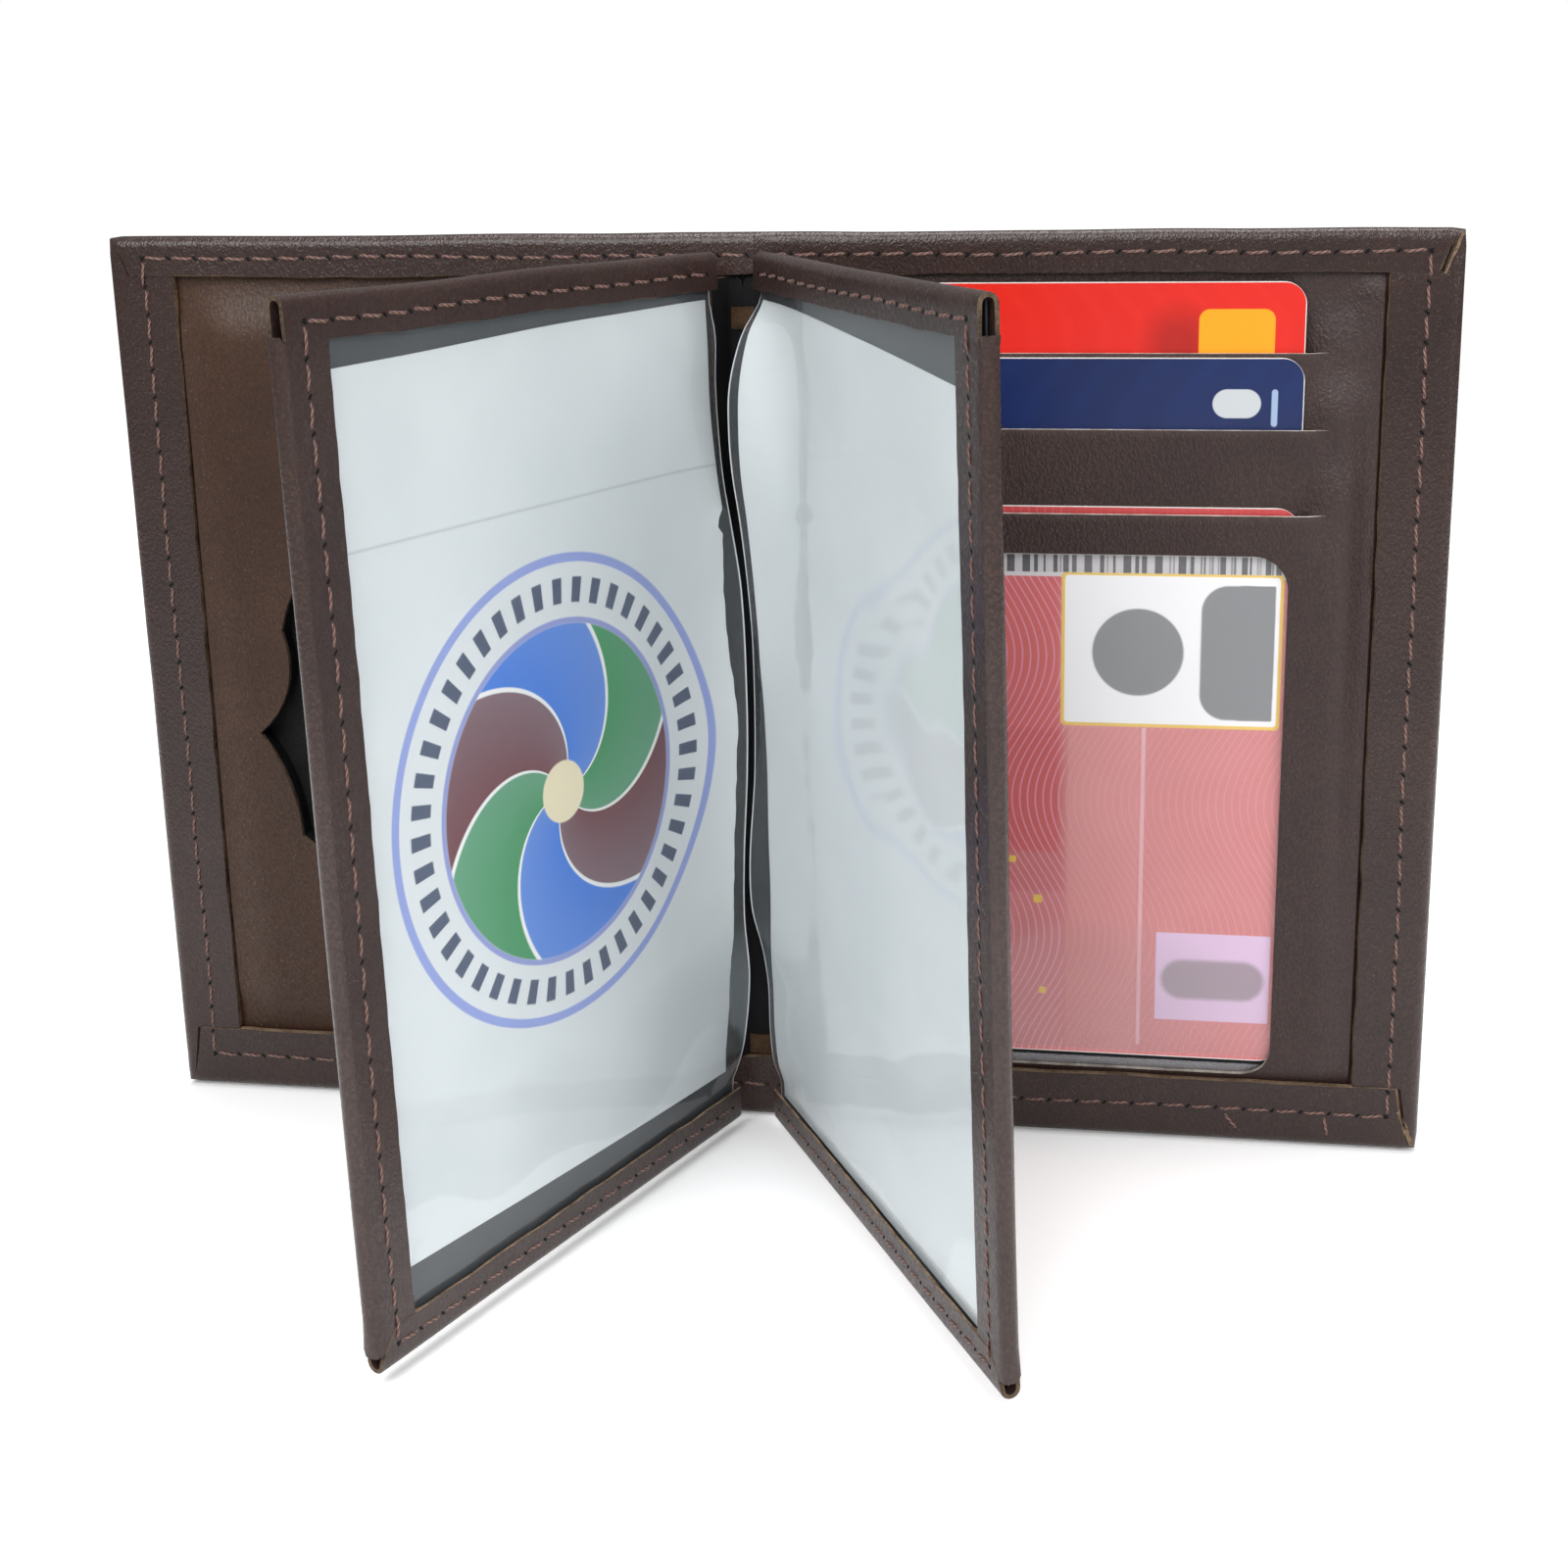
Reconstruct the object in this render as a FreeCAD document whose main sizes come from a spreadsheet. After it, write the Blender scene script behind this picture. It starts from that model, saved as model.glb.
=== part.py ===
"""An opened id badge wallet: a turned-edge leather cover with a badge recess and card slots,
and a two-page credential insert that stands out from its spine.

The wallet stands on the bottom edges of its cover. +Z is up, +X runs across the opened cover,
and the insert's pages stand out towards -Y. The origin is the middle of the bottom edge at the spine.
"Depth" is measured from the back of the cover towards -Y.
"""
import FreeCAD, Part
import math
import os

import Sketcher

doc = FreeCAD.newDocument("IdBadgeWallet")
sheet = doc.addObject("Spreadsheet::Sheet", "Sizes")


class Size:
    """A length, slope or count: the expression that drives it, and its value now."""

    def __init__(self, text, value):
        self.text = text
        self.value = value

    @staticmethod
    def of(item):
        return item if isinstance(item, Size) else Size(repr(float(item)), float(item))

    def __add__(self, other):
        other = Size.of(other)
        return Size(f"({self.text} + {other.text})", self.value + other.value)

    def __sub__(self, other):
        other = Size.of(other)
        return Size(f"({self.text} - {other.text})", self.value - other.value)

    def __mul__(self, other):
        other = Size.of(other)
        return Size(f"({self.text} * {other.text})", self.value * other.value)

    def __truediv__(self, other):
        other = Size.of(other)
        return Size(f"({self.text} / {other.text})", self.value / other.value)

    def __neg__(self):
        return Size(f"(0 - {self.text})", -self.value)


ZERO = Size.of(0)
LEFT = -1
RIGHT = 1
row = 0


def size(alias, value):
    """A driving dimension: one aliased cell of the sheet, in millimetres or degrees."""
    global row
    row += 1
    sheet.set(f"A{row}", alias)
    sheet.set(f"B{row}", str(value))
    sheet.setAlias(f"B{row}", alias)
    return Size(f"Sizes.{alias}", float(value))


# Cover
cover_width = size("cover_width", 198.0)
cover_height = size("cover_height", 138.0)
spine_width = size("spine_width", 20.0)
hide_thick = size("hide_thick", 1.2)
lining_thick = size("lining_thick", 0.4)
facing_thick = size("facing_thick", 0.7)
hem_thick = size("hem_thick", 1.0)
side_hem = size("side_hem", 10.2)
top_hem = size("top_hem", 6.0)
bottom_hem = size("bottom_hem", 10.2)
fold_relief = size("fold_relief", 2.5)
fold_round = size("fold_round", 0.9)
cover_corner = size("cover_corner", 2.5)
layer_inset = size("layer_inset", 0.3)

# Badge half
foam_thick = size("foam_thick", 2.4)
pad_slope = size("pad_slope", 4.0)
pad_margin = size("pad_margin", 0.4)
badge_shift = size("badge_shift", 0.65)
badge_low = size("badge_low", 31.0)
badge_chin_width = size("badge_chin_width", 49.2)
badge_chin_rise = size("badge_chin_rise", 13.6)
badge_wing_width = size("badge_wing_width", 60.6)
badge_wing_rise = size("badge_wing_rise", 30.4)
badge_brow_width = size("badge_brow_width", 51.0)
badge_brow_rise = size("badge_brow_rise", 47.0)
badge_crown_width = size("badge_crown_width", 27.0)
badge_crown_rise = size("badge_crown_rise", 63.0)
badge_top_rise = size("badge_top_rise", 66.5)
badge_chin_bow = size("badge_chin_bow", 1.6)
badge_flank_dip = size("badge_flank_dip", 1.4)
badge_wing_dip = size("badge_wing_dip", 2.8)
badge_shoulder_bow = size("badge_shoulder_bow", 2.2)
badge_crown_dip = size("badge_crown_dip", 1.6)

# Cards and their slots
card_length = size("card_length", 85.6)
card_width = size("card_width", 53.98)
card_thick = size("card_thick", 0.76)
card_corner = size("card_corner", 3.18)
card_clear = size("card_clear", 0.06)
card_shift = size("card_shift", 0.15)
id_lift = size("id_lift", 3.6)
id_show = size("id_show", 1.0)
blue_show = size("blue_show", 10.1)
red_show = size("red_show", 9.9)
blue_step = size("blue_step", 11.9)
red_step = size("red_step", 10.6)
slot_share = size("slot_share", 0.33)
flank_share = size("flank_share", 0.49)
slot_rise = size("slot_rise", 1.1)
liner_thick = size("liner_thick", 0.15)
ledge_height = size("ledge_height", 0.5)
film_thick = size("film_thick", 0.15)
film_clear = size("film_clear", 0.02)
window_lap = size("window_lap", 1.3)
window_drop = size("window_drop", 2.5)
window_gap = size("window_gap", 5.8)
window_corner = size("window_corner", 5.0)
window_rise = size("window_rise", 1.8)

# Insert
insert_x = size("insert_x", -2.0)
strip_width = size("strip_width", 6.6)
fold_spread = size("fold_spread", 5.0)
fold_thick = size("fold_thick", 0.9)
fold_length = size("fold_length", 4.5)
fold_clear = size("fold_clear", 0.2)
tab_thick = size("tab_thick", 0.5)
tab_width = size("tab_width", 3.4)
tab_height = size("tab_height", 3.2)
tab_drop = size("tab_drop", 4.6)
page_width = size("page_width", 86.0)
page_height = size("page_height", 134.0)
page_low = size("page_low", 1.6)
page_hide = size("page_hide", 0.9)
page_lining = size("page_lining", 0.3)
paper_thick = size("paper_thick", 0.3)
page_film = size("page_film", 0.2)
page_hem_thick = size("page_hem_thick", 0.9)
page_side_hem = size("page_side_hem", 7.4)
page_end_hem = size("page_end_hem", 5.4)
page_corner = size("page_corner", 1.6)
page_round = size("page_round", 0.8)
mouth_inset = size("mouth_inset", 0.8)
paper_width = size("paper_width", 76.0)
paper_height = size("paper_height", 118.5)
paper_low = size("paper_low", 10.4)
paper_inset = size("paper_inset", 1.6)
left_lift = size("left_lift", 66.0)
right_lift = size("right_lift", 61.0)

doc.recompute()

half_cover = cover_width / 2
half_spine = spine_width / 2
lining_front = hide_thick + lining_thick
rim_front = lining_front + facing_thick
edge_stack = rim_front + hem_thick
layer_low = hide_thick + layer_inset
layer_high = cover_height - hide_thick - layer_inset
layer_start = half_spine + fold_relief
layer_end = half_cover - hide_thick - layer_inset
hem_side_edge = half_cover - side_hem
hem_top_edge = cover_height - top_hem
panel_middle = (layer_start + hem_side_edge) / 2
badge_x = panel_middle - badge_shift
card_x = panel_middle + card_shift
id_top = bottom_hem + id_lift + card_length
id_slot = id_top - id_show
blue_slot = id_slot + blue_step
blue_top = blue_slot + blue_show
red_slot = blue_slot + red_step
red_top = red_slot + red_show
card_room = hem_side_edge - card_x - card_width / 2
slot_width = card_width + card_room * slot_share * 2
beyond = edge_stack * 4


def at_depth(depth):
    """The Y of a depth, with Y zero in the middle of the cover's edge."""
    return edge_stack / 2 - depth


def bind(item, **expressions):
    """Tie properties of an object to the sheet; a double underscore stands for a dot."""
    for path, value in expressions.items():
        item.setExpression(path.replace("__", "."), value.text)


def spread(side, near, far):
    """Low and high X of a span that runs outwards from the spine on one side."""
    return (near, far) if side == RIGHT else (-far, -near)


# Making helpers
def box(name, x_span, y_span, z_span):
    """A sheet or block between pairs of faces, as a Part box."""
    item = doc.addObject("Part::Box", name)
    bind(item, Length=x_span[1] - x_span[0], Width=y_span[1] - y_span[0], Height=z_span[1] - z_span[0],
         Placement__Base__x=x_span[0], Placement__Base__y=y_span[0], Placement__Base__z=z_span[0])
    return item


def depths(back, front):
    """The Y span of a layer of the cover between two depths."""
    return at_depth(front), at_depth(back)


def boolean(kind, name, base, tool):
    item = doc.addObject(kind, name)
    item.Base = base
    item.Tool = tool
    return item


def outline(body, name, plane, offset, points):
    """A closed sketch of straight runs on an origin plane of the body, every point bound to the sheet."""
    sketch = body.newObject("Sketcher::SketchObject", name)
    support = [feature for feature in body.Origin.OriginFeatures if feature.Role == plane][0]
    sketch.AttachmentSupport = [(support, "")]
    sketch.MapMode = "FlatFace"
    bind(sketch, AttachmentOffset__Base__z=offset)
    ends = points[1:] + points[:1]
    for (across, up), (next_across, next_up) in zip(points, ends):
        sketch.addGeometry(Part.LineSegment(FreeCAD.Vector(across.value, up.value, 0),
                                            FreeCAD.Vector(next_across.value, next_up.value, 0)), False)
    for index in range(len(points)):
        sketch.addConstraint(Sketcher.Constraint("Coincident", index, 2, (index + 1) % len(points), 1))
    for index, point in enumerate(points):
        for kind, place in zip(("DistanceX", "DistanceY"), point):
            number = sketch.addConstraint(Sketcher.Constraint(kind, -1, 1, index, 1, place.value))
            sketch.setExpression(f"Constraints[{number}]", place.text)
    return sketch


def extrude(body, kind, name, plane, offset, length, points, reverse=False):
    """A Pad or Pocket of straight runs; a Pad runs along the plane's normal, a Pocket against it."""
    feature = body.newObject(f"PartDesign::{kind}", name)
    feature.Profile = outline(body, f"{name}_outline", plane, offset, points)
    feature.Reversed = reverse
    bind(feature, Length=length)
    doc.recompute()
    return feature


def rectangle(across, up):
    """The four corners of a rectangle between two spans."""
    return [(across[0], up[0]), (across[1], up[0]), (across[1], up[1]), (across[0], up[1])]


def round_edges(body, name, radius, chosen):
    """A fillet on the edges of the body's tip for which chosen(edge) is true."""
    base = body.Tip
    names = [f"Edge{number}" for number, edge in enumerate(base.Shape.Edges, 1) if chosen(edge)]
    feature = body.newObject("PartDesign::Fillet", name)
    feature.Base = (base, names)
    bind(feature, Radius=radius)
    doc.recompute()


def points_of(edge):
    """Both ends and the middle of an edge."""
    middle = edge.valueAt((edge.FirstParameter + edge.LastParameter) / 2)
    return [vertex.Point for vertex in edge.Vertexes] + [middle]


def near(one, other):
    return abs(one - other) < 1e-4


def turned_leather(label, side, back, spans, layers, hems, corner, edge_round):
    """One hide with its edges turned over on three sides into hems, open towards the spine.

    spans holds the X span from the spine outwards and the Z span, layers the thickness of the hide,
    of what it holds and of its hem, and hems the width of the side, top and bottom hems.
    """
    (inner, outer), (low, high) = spans
    hide, held, hem = layers
    side_width, top_width, low_width = hems
    body = doc.addObject("PartDesign::Body", label)
    stack = hide + held + hem
    across = spread(side, inner, outer)
    extrude(body, "Pad", f"{label}_block", "XZ_Plane", -back, stack, rectangle(across, (low, high)))
    outer_x = side * outer.value
    inner_x = side * inner.value
    round_edges(body, f"{label}_corners", corner,
                lambda edge: all(near(point.x, outer_x) for point in points_of(edge))
                and near(edge.Vertexes[0].Z, edge.Vertexes[-1].Z))
    faces = (back.value, back.value - stack.value)
    round_edges(body, f"{label}_folds", edge_round,
                lambda edge: any(all(near(point.y, face) for point in points_of(edge)) for face in faces)
                and not all(near(point.x, inner_x) for point in points_of(edge)))
    extrude(body, "Pocket", f"{label}_pocket", "YZ_Plane", inner * side, outer - inner - hide,
            rectangle((back - hide - held, back - hide), (low + hide, high - hide)), side == RIGHT)
    extrude(body, "Pocket", f"{label}_opening", "XZ_Plane", stack - back, hem,
            rectangle(spread(side, inner, outer - side_width), (low + low_width, high - top_width)))
    return body


sub_parts = []


def keep(item, label):
    """List an object as a finished sub-part; its label names its file."""
    item.Label = label
    sub_parts.append(item)
    return item


def cover_leather(label, side):
    """Half of the cover's hide, with the hems cut back from the fold so that it can close."""
    body = turned_leather(label, side, at_depth(ZERO), ((half_spine, half_cover), (ZERO, cover_height)),
                          (hide_thick, lining_thick + facing_thick, hem_thick),
                          (side_hem, top_hem, bottom_hem), cover_corner, fold_round)
    extrude(body, "Pocket", f"{label}_relief", "XZ_Plane", edge_stack / 2, edge_stack - hide_thick,
            rectangle(spread(side, half_spine, layer_start), (ZERO, cover_height)))
    return keep(body, label)


def spine_leather():
    """The spine of the cover's hide, with its own stretch of the top and bottom hems."""
    body = doc.addObject("PartDesign::Body", "spine_leather")
    back, front = at_depth(ZERO), at_depth(edge_stack)
    inside, under_hem = at_depth(hide_thick), at_depth(rim_front)
    profile = [(back, ZERO), (back, cover_height), (front, cover_height), (front, hem_top_edge),
               (under_hem, hem_top_edge), (under_hem, cover_height - hide_thick),
               (inside, cover_height - hide_thick), (inside, hide_thick), (under_hem, hide_thick),
               (under_hem, bottom_hem), (front, bottom_hem), (front, ZERO)]
    extrude(body, "Pad", "spine_hide", "YZ_Plane", -half_spine, spine_width, profile)
    ends = (0.0, cover_height.value)
    round_edges(body, "spine_folds", fold_round,
                lambda edge: near(edge.BoundBox.XLength, spine_width.value)
                and any(near(edge.Vertexes[0].Z, end) for end in ends))
    return keep(body, "spine_leather")


def raised_block(name, side, plan, profile):
    """What lies under a padded facing: its section across the panel, cut to its section up the panel."""
    up = doc.addObject("PartDesign::Body", f"{name}_profile")
    low_x, high_x = spread(side, layer_start, layer_end)
    extrude(up, "Pad", f"{name}_profile_pad", "YZ_Plane", low_x, high_x - low_x, profile)
    across = doc.addObject("PartDesign::Body", f"{name}_plan")
    extrude(across, "Pad", f"{name}_plan_pad", "XY_Plane", layer_low, layer_high - layer_low, plan)
    return up, across


def sunk(name, up, across, shift):
    """The block common to two sections, moved back by a leather's thickness."""
    item = boolean("Part::Common", name, up, across)
    bind(item, Placement__Base__y=shift)
    return item


def plan_section(side, start, end, front, slope):
    """A padded panel's section across: a thin rim, sloped flanks and a raised middle."""
    base, rim, top = at_depth(lining_front), at_depth(rim_front), at_depth(front)
    run = [(layer_start, base), (layer_start, rim), (start - slope, rim), (start, top),
           (end, top), (end + slope, rim), (layer_end, rim), (layer_end, base)]
    return [(place * side, depth) for place, depth in run]


def shield():
    """The badge's outline as a cutter right through the panel, even about its middle."""
    rises = [(ZERO, ZERO), (badge_chin_width, badge_chin_rise), (badge_wing_width, badge_wing_rise),
             (badge_brow_width, badge_brow_rise), (badge_crown_width, badge_crown_rise),
             (ZERO, badge_top_rise)]
    bows = [badge_chin_bow, -badge_flank_dip, -badge_wing_dip, badge_shoulder_bow, -badge_crown_dip]
    start_y = at_depth(hide_thick + lining_thick / 2).value
    edges = []
    for mirror in (1, -1):
        places = [FreeCAD.Vector(-badge_x.value + mirror * width.value / 2, start_y,
                                 badge_low.value + rise.value) for width, rise in rises]
        for one, other, bow in zip(places, places[1:], bows):
            run = other - one
            out = FreeCAD.Vector(run.z, 0, -run.x).normalize() * mirror
            edges.append(Part.Arc(one, (one + other) / 2 + out * bow.value, other).toShape())
    face = Part.Face(Part.Wire(Part.__sortEdges__(edges)))
    cutter = doc.addObject("Part::Feature", "badge_cutter")
    cutter.Shape = face.extrude(FreeCAD.Vector(0, -beyond.value, 0))
    return cutter


def badge_half():
    """The left cover: hide, black recess floor, foam and facing with the badge's cut-out."""
    cover_leather("cover_leather_left", LEFT)
    panel = spread(LEFT, layer_start, layer_end)
    keep(box("badge_floor", panel, depths(hide_thick, lining_front), (layer_low, layer_high)), "badge_floor")
    front = rim_front + foam_thick
    low = bottom_hem + pad_margin + pad_slope
    high = hem_top_edge - pad_margin - pad_slope
    rim, top, base = at_depth(rim_front), at_depth(front), at_depth(lining_front)
    profile = [(base, layer_low), (rim, layer_low), (rim, low - pad_slope), (top, low), (top, high),
               (rim, high + pad_slope), (rim, layer_high), (base, layer_high)]
    plan = plan_section(LEFT, layer_start + pad_slope + pad_margin, hem_side_edge - pad_margin - pad_slope,
                        front, pad_slope)
    up, across = raised_block("badge_panel", LEFT, plan, profile)
    cutter = shield()
    leather = boolean("Part::Cut", "badge_skin", sunk("badge_outer", up, across, ZERO),
                      sunk("badge_inner", up, across, facing_thick))
    keep(boolean("Part::Cut", "badge_facing", leather, cutter), "badge_facing")
    room = box("foam_room", panel, depths(lining_front, front), (layer_low, layer_high))
    block = boolean("Part::Common", "foam_block", sunk("foam_under", up, across, facing_thick), room)
    keep(boolean("Part::Cut", "badge_foam", block, cutter), "badge_foam")


class CardPlane:
    """The plane that a card slides in: the depth of its back at its lower edge, and its slope."""

    def __init__(self, name, top, low_depth, slope):
        self.name = name
        self.low = top - card_length
        self.low_depth = low_depth
        self.slope = slope

    def back(self, height):
        return self.low_depth + self.slope * (height - self.low)

    def front(self, height):
        return self.back(height) + card_thick

    def cover(self, height):
        """The front of the leather that lies over the card."""
        return self.front(height) + card_clear + facing_thick

    def place(self, item, drop=ZERO, behind=ZERO):
        """Stand an item in this plane, lower by drop and further back by behind."""
        item.Placement = FreeCAD.Placement(FreeCAD.Vector(), FreeCAD.Rotation(FreeCAD.Vector(1, 0, 0), 1))
        height = self.low - drop
        bind(item, Placement__Base__x=card_x, Placement__Base__z=height,
             Placement__Base__y=at_depth(self.back(height) - behind),
             Placement__Rotation__Angle=Size(f"atan({self.slope.text})", 0))

    def angle(self):
        return math.degrees(math.atan(self.slope.value))


def card_planes():
    """Each card leans a little more than the one behind it, so that the lips of the slots lie over it."""
    pocket = liner_thick + card_clear * 2
    step = card_clear + facing_thick + card_clear
    red_low = red_top - card_length
    red_depth = lining_front + card_clear
    red = CardPlane("red_card", red_top, red_depth,
                    (edge_stack + card_clear - red_depth) / (hem_top_edge - red_low))
    planes = [red]
    for name, top, slot in (("blue_card", blue_top, blue_slot), ("id_card", id_top, id_slot)):
        behind = planes[-1]
        low_at = behind.front(behind.low) + pocket
        slope = (behind.front(slot) + step - low_at) / (slot - behind.low)
        planes.append(CardPlane(name, top, low_at - slope * (behind.low - (top - card_length)), slope))
    return planes


def card(plane):
    """A plastic card of the standard size, in its slot."""
    body = doc.addObject("PartDesign::Body", plane.name)
    half = card_width / 2
    extrude(body, "Pad", f"{plane.name}_blank", "XZ_Plane", ZERO, card_thick,
            rectangle((-half, half), (ZERO, card_length)))
    round_edges(body, f"{plane.name}_corners", card_corner,
                lambda edge: near(edge.BoundBox.YLength, card_thick.value))
    plane.place(body)
    keep(body, plane.name)


def pocket_liner(label, plane, top):
    """A thin cloth behind a card, with a fold under the card that carries it."""
    body = doc.addObject("PartDesign::Body", label)
    reach = liner_thick + card_clear + card_thick
    height = top - plane.low + ledge_height
    profile = [(ZERO, ZERO), (-reach, ZERO), (-reach, ledge_height), (-liner_thick, ledge_height),
               (-liner_thick, height), (ZERO, height)]
    extrude(body, "Pad", f"{label}_sheet", "YZ_Plane", -slot_width / 2, slot_width, profile)
    plane.place(body, ledge_height + card_clear, liner_thick + card_clear)
    keep(body, label)


def card_facing(red, blue, id_card):
    """One leather with three slits and a window, stepped forward by a card at each slit."""
    rise_start = bottom_hem + layer_inset
    rise_end = rise_start + window_rise
    base, rim = at_depth(lining_front), at_depth(rim_front)

    def window_face(height):
        return id_card.cover(height) + film_thick + film_clear

    profile = [(base, layer_low), (rim, layer_low), (rim, rise_start),
               (at_depth(window_face(rise_end)), rise_end), (at_depth(window_face(id_slot)), id_slot),
               (at_depth(blue.cover(id_slot + slot_rise)), id_slot + slot_rise),
               (at_depth(blue.cover(blue_slot)), blue_slot),
               (at_depth(red.cover(blue_slot + slot_rise)), blue_slot + slot_rise),
               (at_depth(red.cover(red_slot)), red_slot), (rim, red_slot + slot_rise * 2),
               (rim, layer_high), (base, layer_high)]
    flank = card_room * flank_share
    half = hem_side_edge - layer_inset - flank - card_x
    plan = plan_section(RIGHT, card_x - half, card_x + half, window_face(id_slot), flank)
    up, across = raised_block("card_panel", RIGHT, plan, profile)
    skin = boolean("Part::Cut", "card_skin", sunk("card_outer", up, across, ZERO),
                   sunk("card_inner", up, across, facing_thick))
    slot_span = (card_x - slot_width / 2, card_x + slot_width / 2)
    through = depths(hide_thick, beyond)
    for number, (slot, rise) in enumerate(((red_slot, slot_rise * 2), (blue_slot, slot_rise),
                                           (id_slot, slot_rise)), 1):
        slit = box(f"slit_{number}", slot_span, through, (slot, slot + rise))
        skin = boolean("Part::Cut", f"card_skin_slit_{number}", skin, slit)
    window = doc.addObject("PartDesign::Body", "window_cutter")
    window_half = card_width / 2 - window_lap
    extrude(window, "Pad", "window_block", "XZ_Plane", -at_depth(hide_thick), beyond,
            rectangle((card_x - window_half, card_x + window_half),
                      (id_card.low - window_drop, id_slot - window_gap)))
    round_edges(window, "window_corners", window_corner,
                lambda edge: near(edge.BoundBox.YLength, beyond.value))
    keep(boolean("Part::Cut", "card_facing", skin, window), "card_facing")


def card_half():
    """The right cover: hide, pocket linings, three cards, slotted facing and the window's film."""
    cover_leather("cover_leather_right", RIGHT)
    red, blue, id_card = card_planes()
    back = doc.addObject("PartDesign::Body", "card_pocket_back")
    inside, front, ledge = at_depth(hide_thick), at_depth(lining_front), at_depth(red.front(red.low))
    ledge_top = red.low - card_clear
    profile = [(inside, layer_low), (front, layer_low), (front, ledge_top - ledge_height),
               (ledge, ledge_top - ledge_height), (ledge, ledge_top), (front, ledge_top),
               (front, layer_high), (inside, layer_high)]
    extrude(back, "Pad", "card_pocket_sheet", "YZ_Plane", layer_start, layer_end - layer_start, profile)
    sides = beyond
    trim = depths(lining_front, beyond)
    ledge_trims = [(layer_start - sides, card_x - slot_width / 2), (card_x + slot_width / 2, layer_end + sides)]
    for number, span in enumerate(ledge_trims, 1):
        extrude(back, "Pocket", f"card_pocket_trim_{number}", "XZ_Plane", -trim[0], trim[1] - trim[0],
                rectangle(span, (layer_low, layer_high)))
    keep(back, "card_pocket_back")
    pocket_liner("blue_pocket_liner", blue, blue_slot - slot_rise)
    pocket_liner("id_pocket_liner", id_card, id_slot - slot_rise)
    card_facing(red, blue, id_card)
    film = doc.addObject("PartDesign::Body", "id_window_film")
    half = slot_width / 2
    extrude(film, "Pad", "id_window_sheet", "XZ_Plane", card_thick + card_clear, film_thick,
            rectangle((-half, half), (ZERO, id_slot - slot_rise - id_card.low)))
    id_card.place(film)
    keep(film, "id_window_film")
    for plane in (red, blue, id_card):
        card(plane)
    return red, blue, id_card


def spine():
    """What stays with the spine: its hide and lining, and the insert's strip with its two tabs."""
    spine_leather()
    heights = (layer_low, layer_high)
    keep(box("spine_lining", (layer_inset - half_spine, half_spine - layer_inset),
             depths(hide_thick, lining_front), heights), "spine_lining")
    keep(box("insert_spine_strip", (insert_x - strip_width / 2, insert_x + strip_width / 2),
             depths(lining_front, rim_front), heights), "insert_spine_strip")
    tab_span = (insert_x - tab_width / 2, insert_x + tab_width / 2)
    tab_top = hem_top_edge - tab_drop
    tab_low = bottom_hem + layer_inset
    for label, low in (("spine_tab_top", tab_top - tab_height), ("spine_tab_bottom", tab_low)):
        keep(box(label, tab_span, depths(rim_front, rim_front + tab_thick), (low, low + tab_height)), label)


def insert_page(name, side, lift):
    """One page of the insert and the fold that joins it to the spine strip, modelled lying open
    with the fold's axis at the origin, then raised about that axis."""
    back = fold_thick / 2
    axis_depth = rim_front + fold_clear + fold_thick / 2
    page_top = page_low + page_height

    def layer(thick_from, thick_to):
        return back - thick_to, back - thick_from

    def raise_page(item):
        turn = FreeCAD.Rotation(FreeCAD.Vector(0, 0, -side), lift.value)
        item.Placement = FreeCAD.Placement(FreeCAD.Vector(), turn)
        bind(item, Placement__Base__x=insert_x + fold_spread / 2 * side, Placement__Rotation__Angle=lift,
             Placement__Base__y=at_depth(axis_depth))

    def sheet_layer(label, span, thickness, heights):
        blank = doc.addObject("PartDesign::Body", label)
        low, high = layer(*thickness)
        extrude(blank, "Pad", f"{label}_sheet", "XZ_Plane", -high, high - low,
                rectangle(spread(side, *span), heights))
        raise_page(blank)
        keep(blank, label)

    fold_heights = (bottom_hem + layer_inset, hem_top_edge - layer_inset)
    flap = box(f"fold_flap_{name}", spread(side, ZERO, fold_length), layer(ZERO, fold_thick), fold_heights)
    bead = doc.addObject("Part::Cylinder", f"fold_bead_{name}")
    bind(bead, Radius=fold_thick / 2, Height=fold_heights[1] - fold_heights[0],
         Placement__Base__z=fold_heights[0])
    fold = boolean("Part::Fuse", f"insert_fold_{name}", flap, bead)
    raise_page(fold)
    keep(fold, f"insert_fold_{name}")

    lining_top = page_hide + page_lining
    paper_top = lining_top + paper_thick
    held = page_lining + paper_thick + page_film
    leather = turned_leather(f"page_leather_{name}", side, back, ((fold_length, page_width), (page_low, page_top)),
                             (page_hide, held, page_hem_thick),
                             (page_side_hem, page_end_hem, page_end_hem), page_corner, page_round)
    raise_page(leather)
    keep(leather, f"page_leather_{name}")
    pocket = (page_low + page_hide, page_top - page_hide)
    mouth = (fold_length + mouth_inset, page_width - page_hide)
    sheet_layer(f"page_lining_{name}", mouth, (page_hide, lining_top), pocket)
    paper_start = fold_length + paper_inset
    sheet_layer(f"credential_{name}", (paper_start, paper_start + paper_width), (lining_top, paper_top),
                (paper_low, paper_low + paper_height))
    sheet_layer(f"page_film_{name}", mouth, (paper_top, paper_top + page_film), pocket)


def check():
    """Stop if any object failed to build or any sub-part has no sound solid."""
    broken = [item.Name for item in doc.Objects if "Invalid" in item.State or "Error" in item.State]
    for item in sub_parts:
        if item.Shape.isNull() or not item.Shape.isValid() or not item.Shape.Solids:
            broken.append(item.Label)
    if broken:
        raise RuntimeError("not built: " + ", ".join(broken))


def export():
    """Write one file per sub-part, named by its label."""
    os.makedirs("parts", exist_ok=True)
    for item in sub_parts:
        item.Shape.exportStep(f"parts/{item.Label}.step")


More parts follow.
